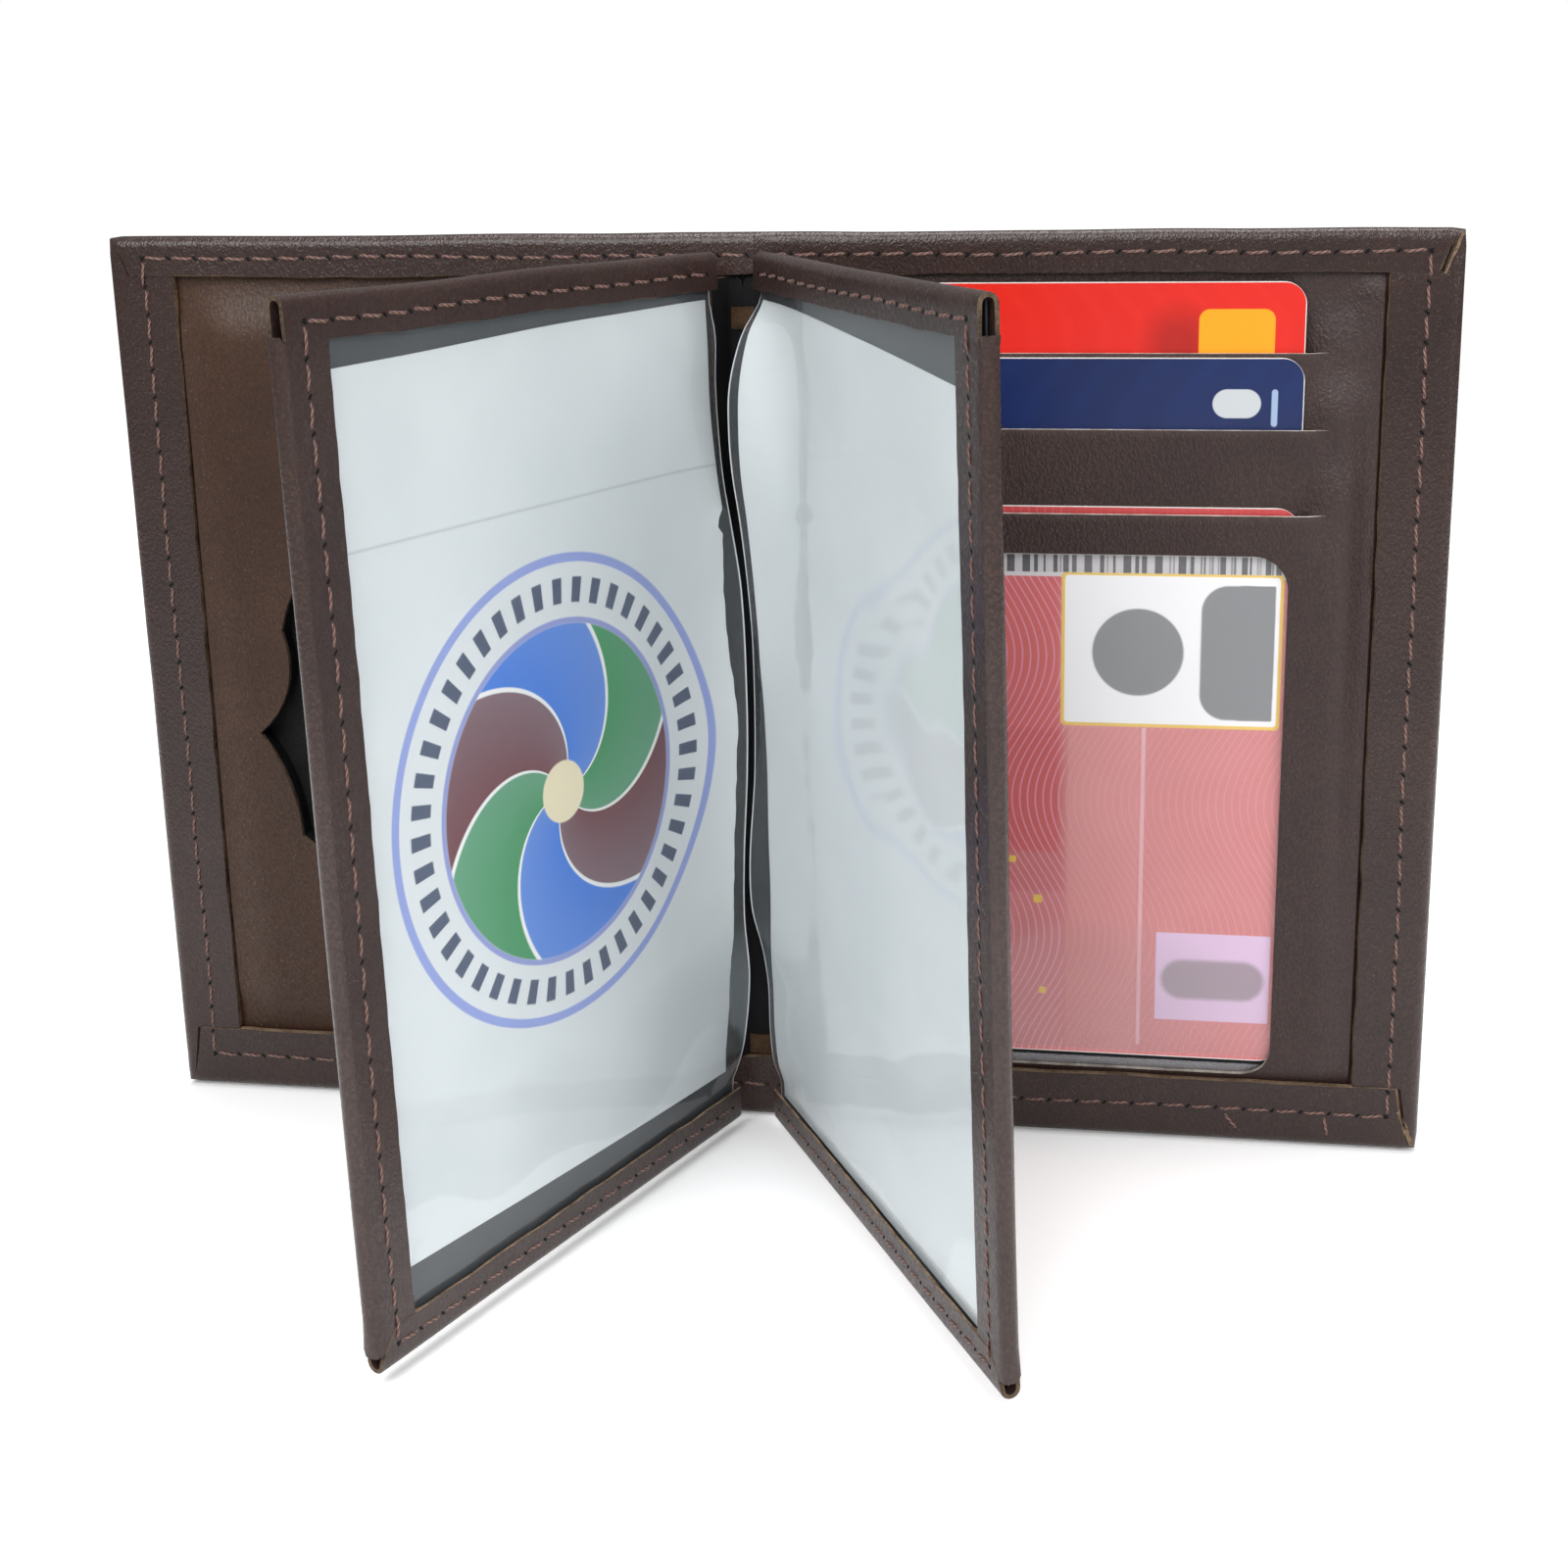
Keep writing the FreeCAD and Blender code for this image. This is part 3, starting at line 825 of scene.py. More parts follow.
@dataclass(frozen=True)
class Cloth(Finish):
    """A woven lining, patterned on its own map."""

    shade: Colour
    light: Colour
    width: float
    height: float
    pitch: float = 0.55
    relief: float = 0.35
    sheen: float = 0.25
    cloud: float = 9.0

    def shader(self, nodes: Nodes) -> Socket:
        """Shade the weave with slow clouds.

        Args:
            nodes: The material's nodes.

        Returns:
            The surface.
        """
        weave = nodes.effect(Effect.WEAVE, Place=nodes.own(self.width, self.height),
                             Pitch=self.pitch)["Height"]
        cloud = nodes.span(nodes.mottle(nodes.place(), self.cloud), 0.0, 1.0, 0.5, 1.0)
        return nodes.surface(
            nodes.mix(nodes.sum("MULTIPLY", weave, cloud), self.shade, self.light),
            nodes.span(weave, 0.0, 1.0, 0.85, 0.68), self.sheen,
            nodes.relief(weave, self.relief, 0.0001))


@dataclass(frozen=True)
class Vinyl(Finish):
    """A clear flexible film: a faint haze, a painted grey reflection band low down, a painted
    highlight along its free edge, and glossy ripples.
    """

    veil: Colour
    haze: float = 0.04
    ripple: float = 26.0
    gloss: float = 0.07
    sheen: float = 0.5
    # colour of the painted highlight along the film's free edge
    edge: Colour = (0.9, 0.93, 0.95, 1.0)
    bending: float = 1.42

    def shader(self, nodes: Nodes) -> Socket:
        """Lay a shine, on the front only, over the thin haze.

        Args:
            nodes: The material's nodes.

        Returns:
            The haze and the shine together.
        """
        place = nodes.place()
        mottle = nodes.mottle(place, self.ripple)
        # edge carries the painted highlight along the film's free edge, a pale line made more
        # opaque
        edge, loose = nodes.marked("rub_and_film_highlight"), nodes.marked("loose")
        # a wavy band low down, painted as a grey reflection in the film
        level = nodes.sum("MULTIPLY_ADD", nodes.cloud(place, 0.045, 0.0), 30.0,
                          nodes.split(place)[2])
        wave = nodes.sum("MULTIPLY", nodes.span(level, 27.0, 27.8),
                         nodes.span(level, 32.0, 46.0, 1.0, 0.0))
        cover = nodes.span(mottle, 0.0, 1.0, self.haze, self.haze + 0.015)
        for mask, share in ((loose, 0.2), (wave, 0.07)):
            cover = nodes.sum("MULTIPLY_ADD", mask, share, cover)
        bent = nodes.relief(nodes.cloud(place, 1.0 / self.ripple, 1.0), 0.17, 0.003)
        film = nodes.surface(nodes.mix(edge, self.veil, self.edge),
                             nodes.span(mottle, 0.0, 1.0, 0.2, 0.3), self.sheen, bent,
                             nodes.sum("ADD", cover, edge, clamp=True))
        shine = nodes.add("BsdfGlossy", {"Color": WHITE, "Roughness": self.gloss,
                                         "Normal": bent}).outputs[0]
        glance = nodes.add("Fresnel", {"IOR": self.bending, "Normal": bent}).outputs[0]
        behind = nodes.add("NewGeometry").outputs["Backfacing"]
        clear = nodes.sum("SUBTRACT", 1.0, nodes.sum("MAXIMUM", behind, loose))
        return nodes.add("MixShader", {0: nodes.sum("MULTIPLY", glance, clear), 1: film,
                                       2: shine}).outputs[0]


@dataclass(frozen=True)
class ClearJoint(Finish):
    """The unseen edge along which a film's two parts meet."""

    def shader(self, nodes: Nodes) -> Socket:
        """Leave the surface fully clear."""
        return nodes.add("BsdfPrincipled", {"Alpha": 0.0}).outputs[0]


@dataclass(frozen=True)
class Thread(Finish):
    """Waxed thread of two plies, its twist drawn on each stitch's own map with painted shade
    between the plies and painted highlights on them.
    """

    shade: Colour
    light: Colour
    turns: float = 44.0
    sheen: float = 0.3

    def shader(self, nodes: Nodes) -> Socket:
        """Wind two plies round each stitch, with painted shade between them and painted highlights
        on them.

        Args:
            nodes: The material's nodes.

        Returns:
            The surface.
        """
        parts = nodes.split(nodes.own(1.0, 1.0))
        turn = nodes.sum("MULTIPLY_ADD", parts[1], self.turns,
                         nodes.sum("MULTIPLY", parts[0], 2.0 * math.tau))
        ply_and_groove_shade = nodes.span(nodes.sum("SINE", turn), -1.0, 1.0)
        fuzz = nodes.cloud(nodes.place(), 6.0, 3.0)
        share = nodes.sum("MULTIPLY", ply_and_groove_shade, nodes.span(fuzz, 0.3, 0.7, 0.6, 1.0))
        # darker between the plies as painted shade, lighter on them as painted highlight
        return nodes.surface(nodes.mix(share, self.shade, self.light),
                             nodes.span(fuzz, 0.3, 0.7, 0.6, 0.8), self.sheen,
                             nodes.relief(ply_and_groove_shade, 0.6, 0.0002))


@dataclass(frozen=True)
class Paper(Finish):
    """A pale printed leaf, plain or with a roundel of its own."""

    width: float
    height: float
    middle: Spot = (0.0, 0.0)
    radius: float = 0.0
    crease: float = 0.0
    sheen: float = 0.3
    cloud: float = 24.0
    blades: float = 6.0
    dashes: float = 44.0

    def shader(self, nodes: Nodes) -> Socket:
        """Print the leaf, crease it and paint shade along the crease.

        Args:
            nodes: The material's nodes.

        Returns:
            The surface.
        """
        place = nodes.own(self.width, self.height)
        mottle = nodes.mottle(nodes.place(), self.cloud)
        colour = nodes.mix(mottle, tone(207, 214, 216), tone(217, 223, 225))
        if self.radius:
            colour = self.roundel(nodes, place, colour)
        height = nodes.cloud(place, 1.6, 3.0)
        if self.crease:
            off = nodes.sum("ABSOLUTE", nodes.sum("SUBTRACT", nodes.split(place)[1], self.crease))
            crease_dent_and_shade = nodes.span(off, 0.0, 0.35, 1.0, 0.0)
            # paint grey shade along the crease; the same mask dents the leaf below
            colour = nodes.mix(nodes.sum("MULTIPLY", crease_dent_and_shade, 0.35), colour, tone(128, 136, 142))
            height = nodes.sum("MULTIPLY_ADD", crease_dent_and_shade, -1.5, height)
        return nodes.surface(colour, nodes.span(mottle, 0.0, 1.0, 0.62, 0.74), self.sheen,
                             nodes.relief(height, 0.12, 0.0002))

    def roundel(self, nodes: Nodes, place: Socket, ground: Socket) -> Socket:
        """Draw a pinwheel in a ring of dashes.

        Args:
            nodes: The tree to draw in.
            place: Place on the leaf in millimetres.
            ground: Colour of the bare leaf.

        Returns:
            The colour with the roundel on it.
        """
        off = nodes.vector("SUBTRACT", place, (*self.middle, 0.0))
        away, parts = nodes.length(off), nodes.split(off)
        angle = nodes.sum("ARCTAN2", parts[1], parts[0])

        def band(inner: float, outer: float) -> Socket:
            """Draw the mask of a ring between two shares of the radius."""
            rise, fall = (nodes.span(away, self.radius * share - 0.12, self.radius * share + 0.12,
                                     *ends)
                          for share, ends in ((inner, (0.0, 1.0)), (outer, (1.0, 0.0))))
            return nodes.sum("MULTIPLY", rise, fall)

        dash = nodes.span(nodes.sum("SINE", nodes.sum("MULTIPLY", angle, self.dashes)), 0.0, 0.25)
        colour = ground
        for mask, ink in (
                (band(0.945, 0.985), tone(140, 156, 214)),
                (band(0.72, 0.945), tone(214, 220, 223)),
                (nodes.sum("MULTIPLY", band(0.78, 0.885), dash), tone(60, 72, 100)),
                (band(0.695, 0.72), tone(140, 150, 206)),
                (band(-1.0, 0.695), self.pinwheel(nodes, away, angle)),
                (band(-1.0, 0.13), tone(232, 222, 190))):
            colour = nodes.mix(mask, colour, ink)
        return colour

    def pinwheel(self, nodes: Nodes, away: Socket, angle: Socket) -> Socket:
        """Draw curved blades in three colours with pale seams.

        Args:
            nodes: The tree to draw in.
            away: Distance from the roundel's middle.
            angle: Direction from its middle.

        Returns:
            The blades' colour.
        """
        swirl = nodes.sum("MULTIPLY_ADD", away, 0.055, angle)
        rate = self.blades / math.tau
        share = nodes.sum("FRACT", nodes.sum("MULTIPLY_ADD", swirl, rate, self.blades))
        whole = nodes.sum("FLOOR", nodes.sum("MULTIPLY_ADD", swirl, rate, self.blades + 1.0))
        turn = nodes.sum("FRACT", nodes.sum("DIVIDE", whole, 3.0))
        seam = nodes.sum("ABSOLUTE", nodes.sum("SUBTRACT", share, 0.5))
        blade = nodes.mix(nodes.span(turn, 0.2, 0.21), tone(44, 116, 214), tone(40, 140, 78))
        for mask, ink in ((nodes.span(turn, 0.5, 0.51), tone(100, 26, 38)),
                          (nodes.span(share, 0.0, 1.0, 0.0, 0.15), tone(188, 206, 222)),
                          (nodes.span(seam, 0.47, 0.485), tone(236, 238, 236))):
            blade = nodes.mix(mask, blade, ink)
        return blade


@dataclass(frozen=True)
class Patch:
    """One printed rounded rectangle on a card."""

    middle: Spot
    half: Spot
    ink: Colour
    corner: float = 0.6
    soft: float = 0.15
    share: float = 1.0

    def mask(self, nodes: Nodes, place: Socket) -> Socket:
        """Draw the patch's mask."""
        return nodes.effect(Effect.PATCH, Place=place, Middle=(*self.middle, 0.0),
                            Half=(*self.half, 0.0), Corner=self.corner, Soft=self.soft)["Mask"]


@dataclass(frozen=True)
class CardPrint(Finish):
    """A printed plastic card: a ground, waved lines, patches and a white core at its edges."""

    ground: Colour
    shade: Colour
    line: Colour
    box: Box
    line_share: float = 0.3
    pitch: float = 1.4
    sway: float = 2.5
    wave: float = 14.0
    under: tuple[Patch, ...] = ()
    patches: tuple[Patch, ...] = ()
    bars: Spot = (0.0, 0.0)
    edge: float = 0.1
    line_end: float = 200.0
    rough: float = 0.3
    sheen: float = 0.5
    cloud: float = 22.0
    rim: float = 0.07
    corner: float = 3.0

    def shader(self, nodes: Nodes) -> Socket:
        """Print the card up to its white rim.

        Args:
            nodes: The material's nodes.

        Returns:
            The surface.
        """
        parts = nodes.split(nodes.place())
        place = nodes.add("CombineXYZ", {0: parts[0], 1: parts[2]}).outputs[0]
        mottle = nodes.mottle(place, self.cloud)
        colour = nodes.mix(mottle, self.ground, self.shade)
        colour = self.printed(nodes, place, colour, self.under)
        lines = nodes.effect(Effect.LINES, Place=place, Pitch=self.pitch, Sway=self.sway,
                             Wave=self.wave, Edge=self.edge)["Mask"]
        share = nodes.span(parts[0], self.line_end, self.line_end + 0.2, self.line_share,
                           0.3 * self.line_share)
        colour = nodes.mix(nodes.sum("MULTIPLY", lines, share), colour, self.line)
        colour = self.printed(nodes, place, colour, self.patches)
        if self.bars[1] > self.bars[0]:
            colour = self.barred(nodes, parts, colour)
        low_x, low_z, high_x, high_z = self.box
        core = Patch(((low_x + high_x) / 2.0, (low_z + high_z) / 2.0),
                     ((high_x - low_x) / 2.0 - self.rim, (high_z - low_z) / 2.0 - self.rim),
                     tone(238, 236, 232), self.corner, 0.06)
        return nodes.surface(nodes.mix(core.mask(nodes, place), core.ink, colour),
                             nodes.span(mottle, 0.0, 1.0, self.rough, self.rough + 0.1),
                             self.sheen,
                             nodes.relief(nodes.cloud(place, 2.2, 2.0), 0.04, 0.0001))

    @staticmethod
    def printed(nodes: Nodes, place: Socket, colour: Socket, patches: Sequence[Patch]) -> Socket:
        """Print patches one over another.

        Args:
            nodes: The tree to draw in.
            place: Place on the card in millimetres.
            colour: The print under them.
            patches: The patches, the lowest first.

        Returns:
            The colour with the patches on it.
        """
        for patch in patches:
            mask = patch.mask(nodes, place)
            if patch.share < 1.0:
                mask = nodes.sum("MULTIPLY", mask, patch.share)
            colour = nodes.mix(mask, colour, patch.ink)
        return colour

    def barred(self, nodes: Nodes, parts: Sequence[Socket], colour: Socket) -> Socket:
        """Add a strip of plain upright bars.

        Args:
            nodes: The tree to draw in.
            parts: The place's three directions.
            colour: The print under the strip.

        Returns:
            The colour with the strip on it.
        """
        low, high = self.bars
        strip = nodes.sum("MULTIPLY", nodes.span(parts[2], low, low + 0.2),
                          nodes.span(parts[2], high - 0.2, high, 1.0, 0.0))
        widths = nodes.add("TexNoise", {"W": nodes.sum("MULTIPLY", parts[0], 0.9), "Scale": 1.0,
                                        "Detail": 1.0}, noise_dimensions="1D").outputs[0]
        bar = nodes.mix(nodes.span(widths, 0.48, 0.52), tone(58, 58, 62), tone(196, 194, 196))
        return nodes.mix(strip, colour, bar)


class Finishes:
    """All the finishes of the wallet, built once."""

    def __init__(self) -> None:
        """Build each finish."""
        pale = tone(132, 118, 110)
        self.hide = Leather("brown_hide", tone(46, 30, 27), tone(56, 38, 34), pale,
                            relief=0.32, rough=0.28, wear=0.07).make()
        self.facing = Leather("brown_facing", tone(48, 31, 29), tone(58, 40, 37), pale,
                              relief=0.45, rough=0.44, fleck=0.15).make()
        self.warm = Leather("warm_facing", tone(58, 36, 23), tone(69, 45, 30), pale,
                            relief=0.2, rough=0.42, fleck=0.3, sheen=0.3).make()
        self.page = Leather("page_hide", tone(54, 38, 35), tone(64, 48, 44),
                            tone(104, 92, 88), pebble=0.5, relief=0.18, rough=0.3,
                            fleck=0.12, wear=0.03).make()
        self.floor = Leather("black_floor_leather", tone(18, 20, 21), tone(30, 32, 34),
                             tone(80, 76, 74), pebble=0.7, rough=0.5, fleck=0.1).make()
        self.cut = Fibre("cut_edge", tone(76, 59, 47), tone(142, 119, 97), hair=0.45).make()
        self.end = Fibre("rolled_end", tone(36, 29, 25), tone(104, 88, 72), hair=0.5,
                         relief=0.9).make()
        self.lip = Fibre("lip_edge", tone(136, 124, 114), tone(206, 198, 190), hair=0.3).make()
        self.suede = Fibre("tan_suede", tone(48, 34, 24), tone(86, 65, 46), hair=0.5).make()
        self.foam = Fibre("black_foam", tone(10, 10, 11), tone(26, 26, 27), hair=0.5,
                          relief=0.9).make()
        # near-black discs that paint the shade where the needle pierced
        self.hole_shade = Fibre("needle_hole_shade", tone(8, 7, 7), tone(16, 13, 12), hair=0.3).make()
        self.lining = Cloth("black_lining", tone(14, 14, 16), tone(30, 30, 34), 80.0, 132.0).make()
        self.grey = Cloth("grey_lining", tone(52, 54, 57), tone(60, 62, 66), 80.0, 132.0,
                          relief=0.06).make()
        self.pocket = Fibre("pocket_cloth", tone(21, 21, 23), tone(28, 27, 30), hair=0.25,
                            relief=0.15).make()
        self.vinyl = Vinyl("clear_vinyl", tone(188, 197, 202), haze=0.03).make()
        self.window = Vinyl("window_vinyl", tone(190, 188, 192), haze=0.05, ripple=34.0).make()
        self.joint = ClearJoint("film_joint").make()
        self.thread = Thread("pink_brown_thread", tone(84, 62, 57), tone(150, 118, 109)).make()
        self.leaf_left = Paper("leaf_with_roundel", 76.0, 118.5, (36.0, 55.5), 33.0, 95.0).make()
        self.leaf_right = Paper("plain_leaf", 76.0, 118.5).make()
        self.red = CardPrint(
            "red_card_print", tone(214, 34, 20), tone(204, 28, 18), tone(226, 52, 34),
            (23.81, 45.2, 77.79, 130.8), 0.12, 5.0, 4.0, 26.0,
            patches=(Patch((60.4, 122.4), (6.4, 6.4), tone(132, 18, 12), 6.4, 4.5, 0.6),
                     Patch((68.4, 121.8), (5.3, 5.3), tone(246, 156, 22), 1.6))).make()
        self.blue = CardPrint(
            "blue_card_print", tone(6, 32, 86), tone(4, 25, 72), tone(18, 48, 108),
            (23.81, 34.8, 77.79, 120.4), 0.12, 7.0, 5.0, 34.0,
            patches=(Patch((68.6, 114.0), (3.4, 2.1), tone(188, 193, 196), 2.1),
                     Patch((73.8, 113.4), (0.5, 2.7), tone(150, 170, 200), 0.5))).make()
        self.identity = self.identity_card()

    @staticmethod
    def identity_card() -> Material:
        """Build the print of the card behind the window, all plain placeholder shapes.

        Returns:
            The finished material.
        """
        white, yellow, lilac = tone(244, 244, 246), tone(235, 196, 60), tone(222, 190, 222)
        grey, dark = tone(116, 119, 122), tone(182, 4, 4)
        return CardPrint(
            "identity_card_print", tone(214, 124, 123), tone(206, 110, 110), tone(234, 172, 202),
            (23.81, 13.8, 77.79, 99.4), 0.5, 1.15, 4.2, 44.0,
            under=(
                Patch((32.0, 68.0), (13.0, 22.0), tone(216, 16, 16), 1.0, 2.0, 0.95),
                Patch((34.6, 53.0), (11.4, 13.4), dark, 1.0, 3.5, 0.95),
                Patch((50.9, 40.0), (5.4, 27.0), tone(222, 148, 144), 0.4, 0.9, 0.6),
            ),
            patches=(
                Patch((50.0, 91.2), (27.0, 2.2), tone(216, 214, 216), 0.4),
                Patch((50.0, 97.4), (27.0, 3.4), dark, 0.5, 0.6, 0.8),
                Patch((60.3, 78.2), (15.8, 11.7), yellow, 0.8),
                Patch((60.3, 78.2), (15.3, 11.2), white, 0.6),
                Patch((55.6, 77.9), (6.7, 6.7), grey, 6.7, 0.3),
                Patch((69.7, 78.0), (5.3, 10.2), grey, 4.0, 0.3),
                Patch((72.4, 78.0), (2.6, 10.2), grey, 0.3, 0.2),
                Patch((67.6, 27.1), (8.5, 7.2), lilac, 0.3),
                Patch((67.6, 26.7), (8.0, 3.6), tone(148, 128, 140), 3.6, 0.8, 0.9),
                Patch((56.7, 41.0), (0.35, 25.5), tone(246, 214, 226), 0.1, 0.2, 0.85),
                *(Patch(middle, (half, half), yellow, 0.3) for middle, half in (
                    ((41.4, 38.9), 0.7), ((37.6, 45.2), 0.6), ((42.2, 23.9), 0.6))),
            ), bars=(89.6, 92.4), edge=0.6, line_end=45.2).make()


# Stitching

@dataclass(frozen=True)
class Seam:
    """A straight run of stitches between two places on a hide, across and up."""

    start: Spot
    end: Spot


@dataclass
class Stitcher:
    """Models one stitch and one dark disc of painted shade where the needle pierced, and sews them
    along seams.
    """

    finishes: Finishes
    pitch: float = 4.2
    length: float = 3.7
    gauge: float = 0.21
    slant: float = 6.0
    hole_shade_slant: float = 38.0
    thread: Mesh = field(init=False)
    hole_shade: Mesh = field(init=False)

    def __post_init__(self) -> None:
        """Model the stitch and the disc of painted shade."""
        self.thread = self.model_thread()
        self.hole_shade = self.model_hole_shade()

    def model_thread(self) -> Mesh:
        """Bend a short round bar into a stitch whose ends dive.

        Returns:
            The stitch's mesh.
        """
        clear_selection()
        bpy.ops.mesh.primitive_cylinder_add(
            vertices=8, radius=self.gauge, depth=self.length, rotation=(0.0, math.pi / 2.0, 0.0))
        bar = bpy.context.object
        bpy.ops.object.transform_apply(location=True, rotation=True, scale=True)
        half = self.length / 2.0
        with editing(bar):
            pick_long(bar, 0, half)
            bpy.ops.mesh.subdivide(number_cuts=4)

        def arch(spot: Vector) -> Vector:
            """Slim, hook and sink the bar towards its ends."""
            share = abs(spot.x) / half
            slim = 1.0 - 0.45 * ease(share, 0.55, 1.0)
            drop = 0.32 * ease(share, 0.5, 1.0)
            hook = 0.2 * ease(-spot.x / half, 0.45, 1.0)
            return Vector((spot.x, spot.y * slim + hook, spot.z * slim * 0.7 + 0.07 - drop))

        move_points(bar, arch)
        return loose_mesh(bar)

    def model_hole_shade(self) -> Mesh:
        """Flatten a small ball into a dark disc that paints the shade where the needle pierced.

        Returns:
            The disc's mesh.
        """
        clear_selection()
        bpy.ops.mesh.primitive_uv_sphere_add(segments=8, ring_count=4, radius=1.0)
        ball = bpy.context.object
        move_points(ball, lambda spot: Vector((spot.x * 0.46 + spot.y * 0.1, spot.y * 0.22,
                                               spot.z * 0.06 + 0.012)))
        return loose_mesh(ball)

    def sew(self, name: str, hide: Piece, seams: Sequence[Seam],
            tails: Sequence[Seam] = ()) -> list[Piece]:
        """Sew along seams on both faces of a hide.

        Args:
            name: Start of the pieces' names.
            hide: The hide, before it is seated.
            seams: The runs of stitches.
            tails: Loose thread ends on the front.

        Returns:
            The threads and the discs of painted shade where the needle pierced.
        """
        skin = skin_of(hide)
        threads, holes = bmesh.new(), bmesh.new()
        for seam in seams:
            start, end = Vector(seam.start), Vector(seam.end)
            run = end - start
            count = max(1, round(run.length / self.pitch))
            for step in range(count + 1):
                stray = run.orthogonal().normalized() * (0.3 * drift(step, start.y, 5.0, start.x))
                for face in Face:
                    self.dot(holes, self.hole_shade, skin, start + run * (step / count) + stray, run,
                             face, self.hole_shade_slant)
                    if step < count:
                        self.dot(threads, self.thread, skin,
                                 start + run * ((step + 0.5) / count) + stray, run, face,
                                 self.slant + 4.0 * drift(step * 7.3, start.x, 5.0, start.y))
        for tail in tails:
            start, end = Vector(tail.start), Vector(tail.end)
            self.dot(threads, self.thread, skin, (start + end) / 2.0, end - start, Face.FRONT, 0.0)
        made = []
        for kind, work, finish in (("threads", threads, self.finishes.thread),
                                   ("holes", holes, self.finishes.hole_shade)):
            mesh = bpy.data.meshes.new(f"{name}_{kind}")
            work.to_mesh(mesh)
            work.free()
            piece = bpy.data.objects.new(mesh.name, mesh)
            bpy.context.scene.collection.objects.link(piece)
            wear(piece, finish)
            made.append(piece)
        return made

    @staticmethod
    def dot(work: bmesh.types.BMesh, shape: Mesh, skin: BVHTree, spot: Vector, run: Vector,
            face: Face, slant: float) -> None:
        """Set one copy of a shape on the hide.

        Args:
            work: The mesh that gathers the copies.
            shape: What to copy.
            skin: The hide's surface.
            spot: Place across and up.
            run: Direction of the seam, across and up.
            face: Which face of the hide to sit on.
            slant: Turn against the seam in degrees.
        """
        ray = Vector((0.0, float(face.value), 0.0))
        hit, normal, _, _ = skin.ray_cast(Vector((spot.x, -40.0 * face.value, spot.y)), ray)
        if hit is None:
            return
        along = Vector((run.x, 0.0, run.y)).normalized()
        along = (along - normal * along.dot(normal)).normalized()
        along = Matrix.Rotation(math.radians(slant), 3, normal) @ along
        place = Matrix((along, normal.cross(along), normal)).transposed().to_4x4()
        place.translation = hit
        first = len(work.verts)
        work.from_mesh(shape)
        work.verts.ensure_lookup_table()
        bmesh.ops.transform(work, matrix=place, verts=work.verts[first:])


# The wallet's sub-assemblies

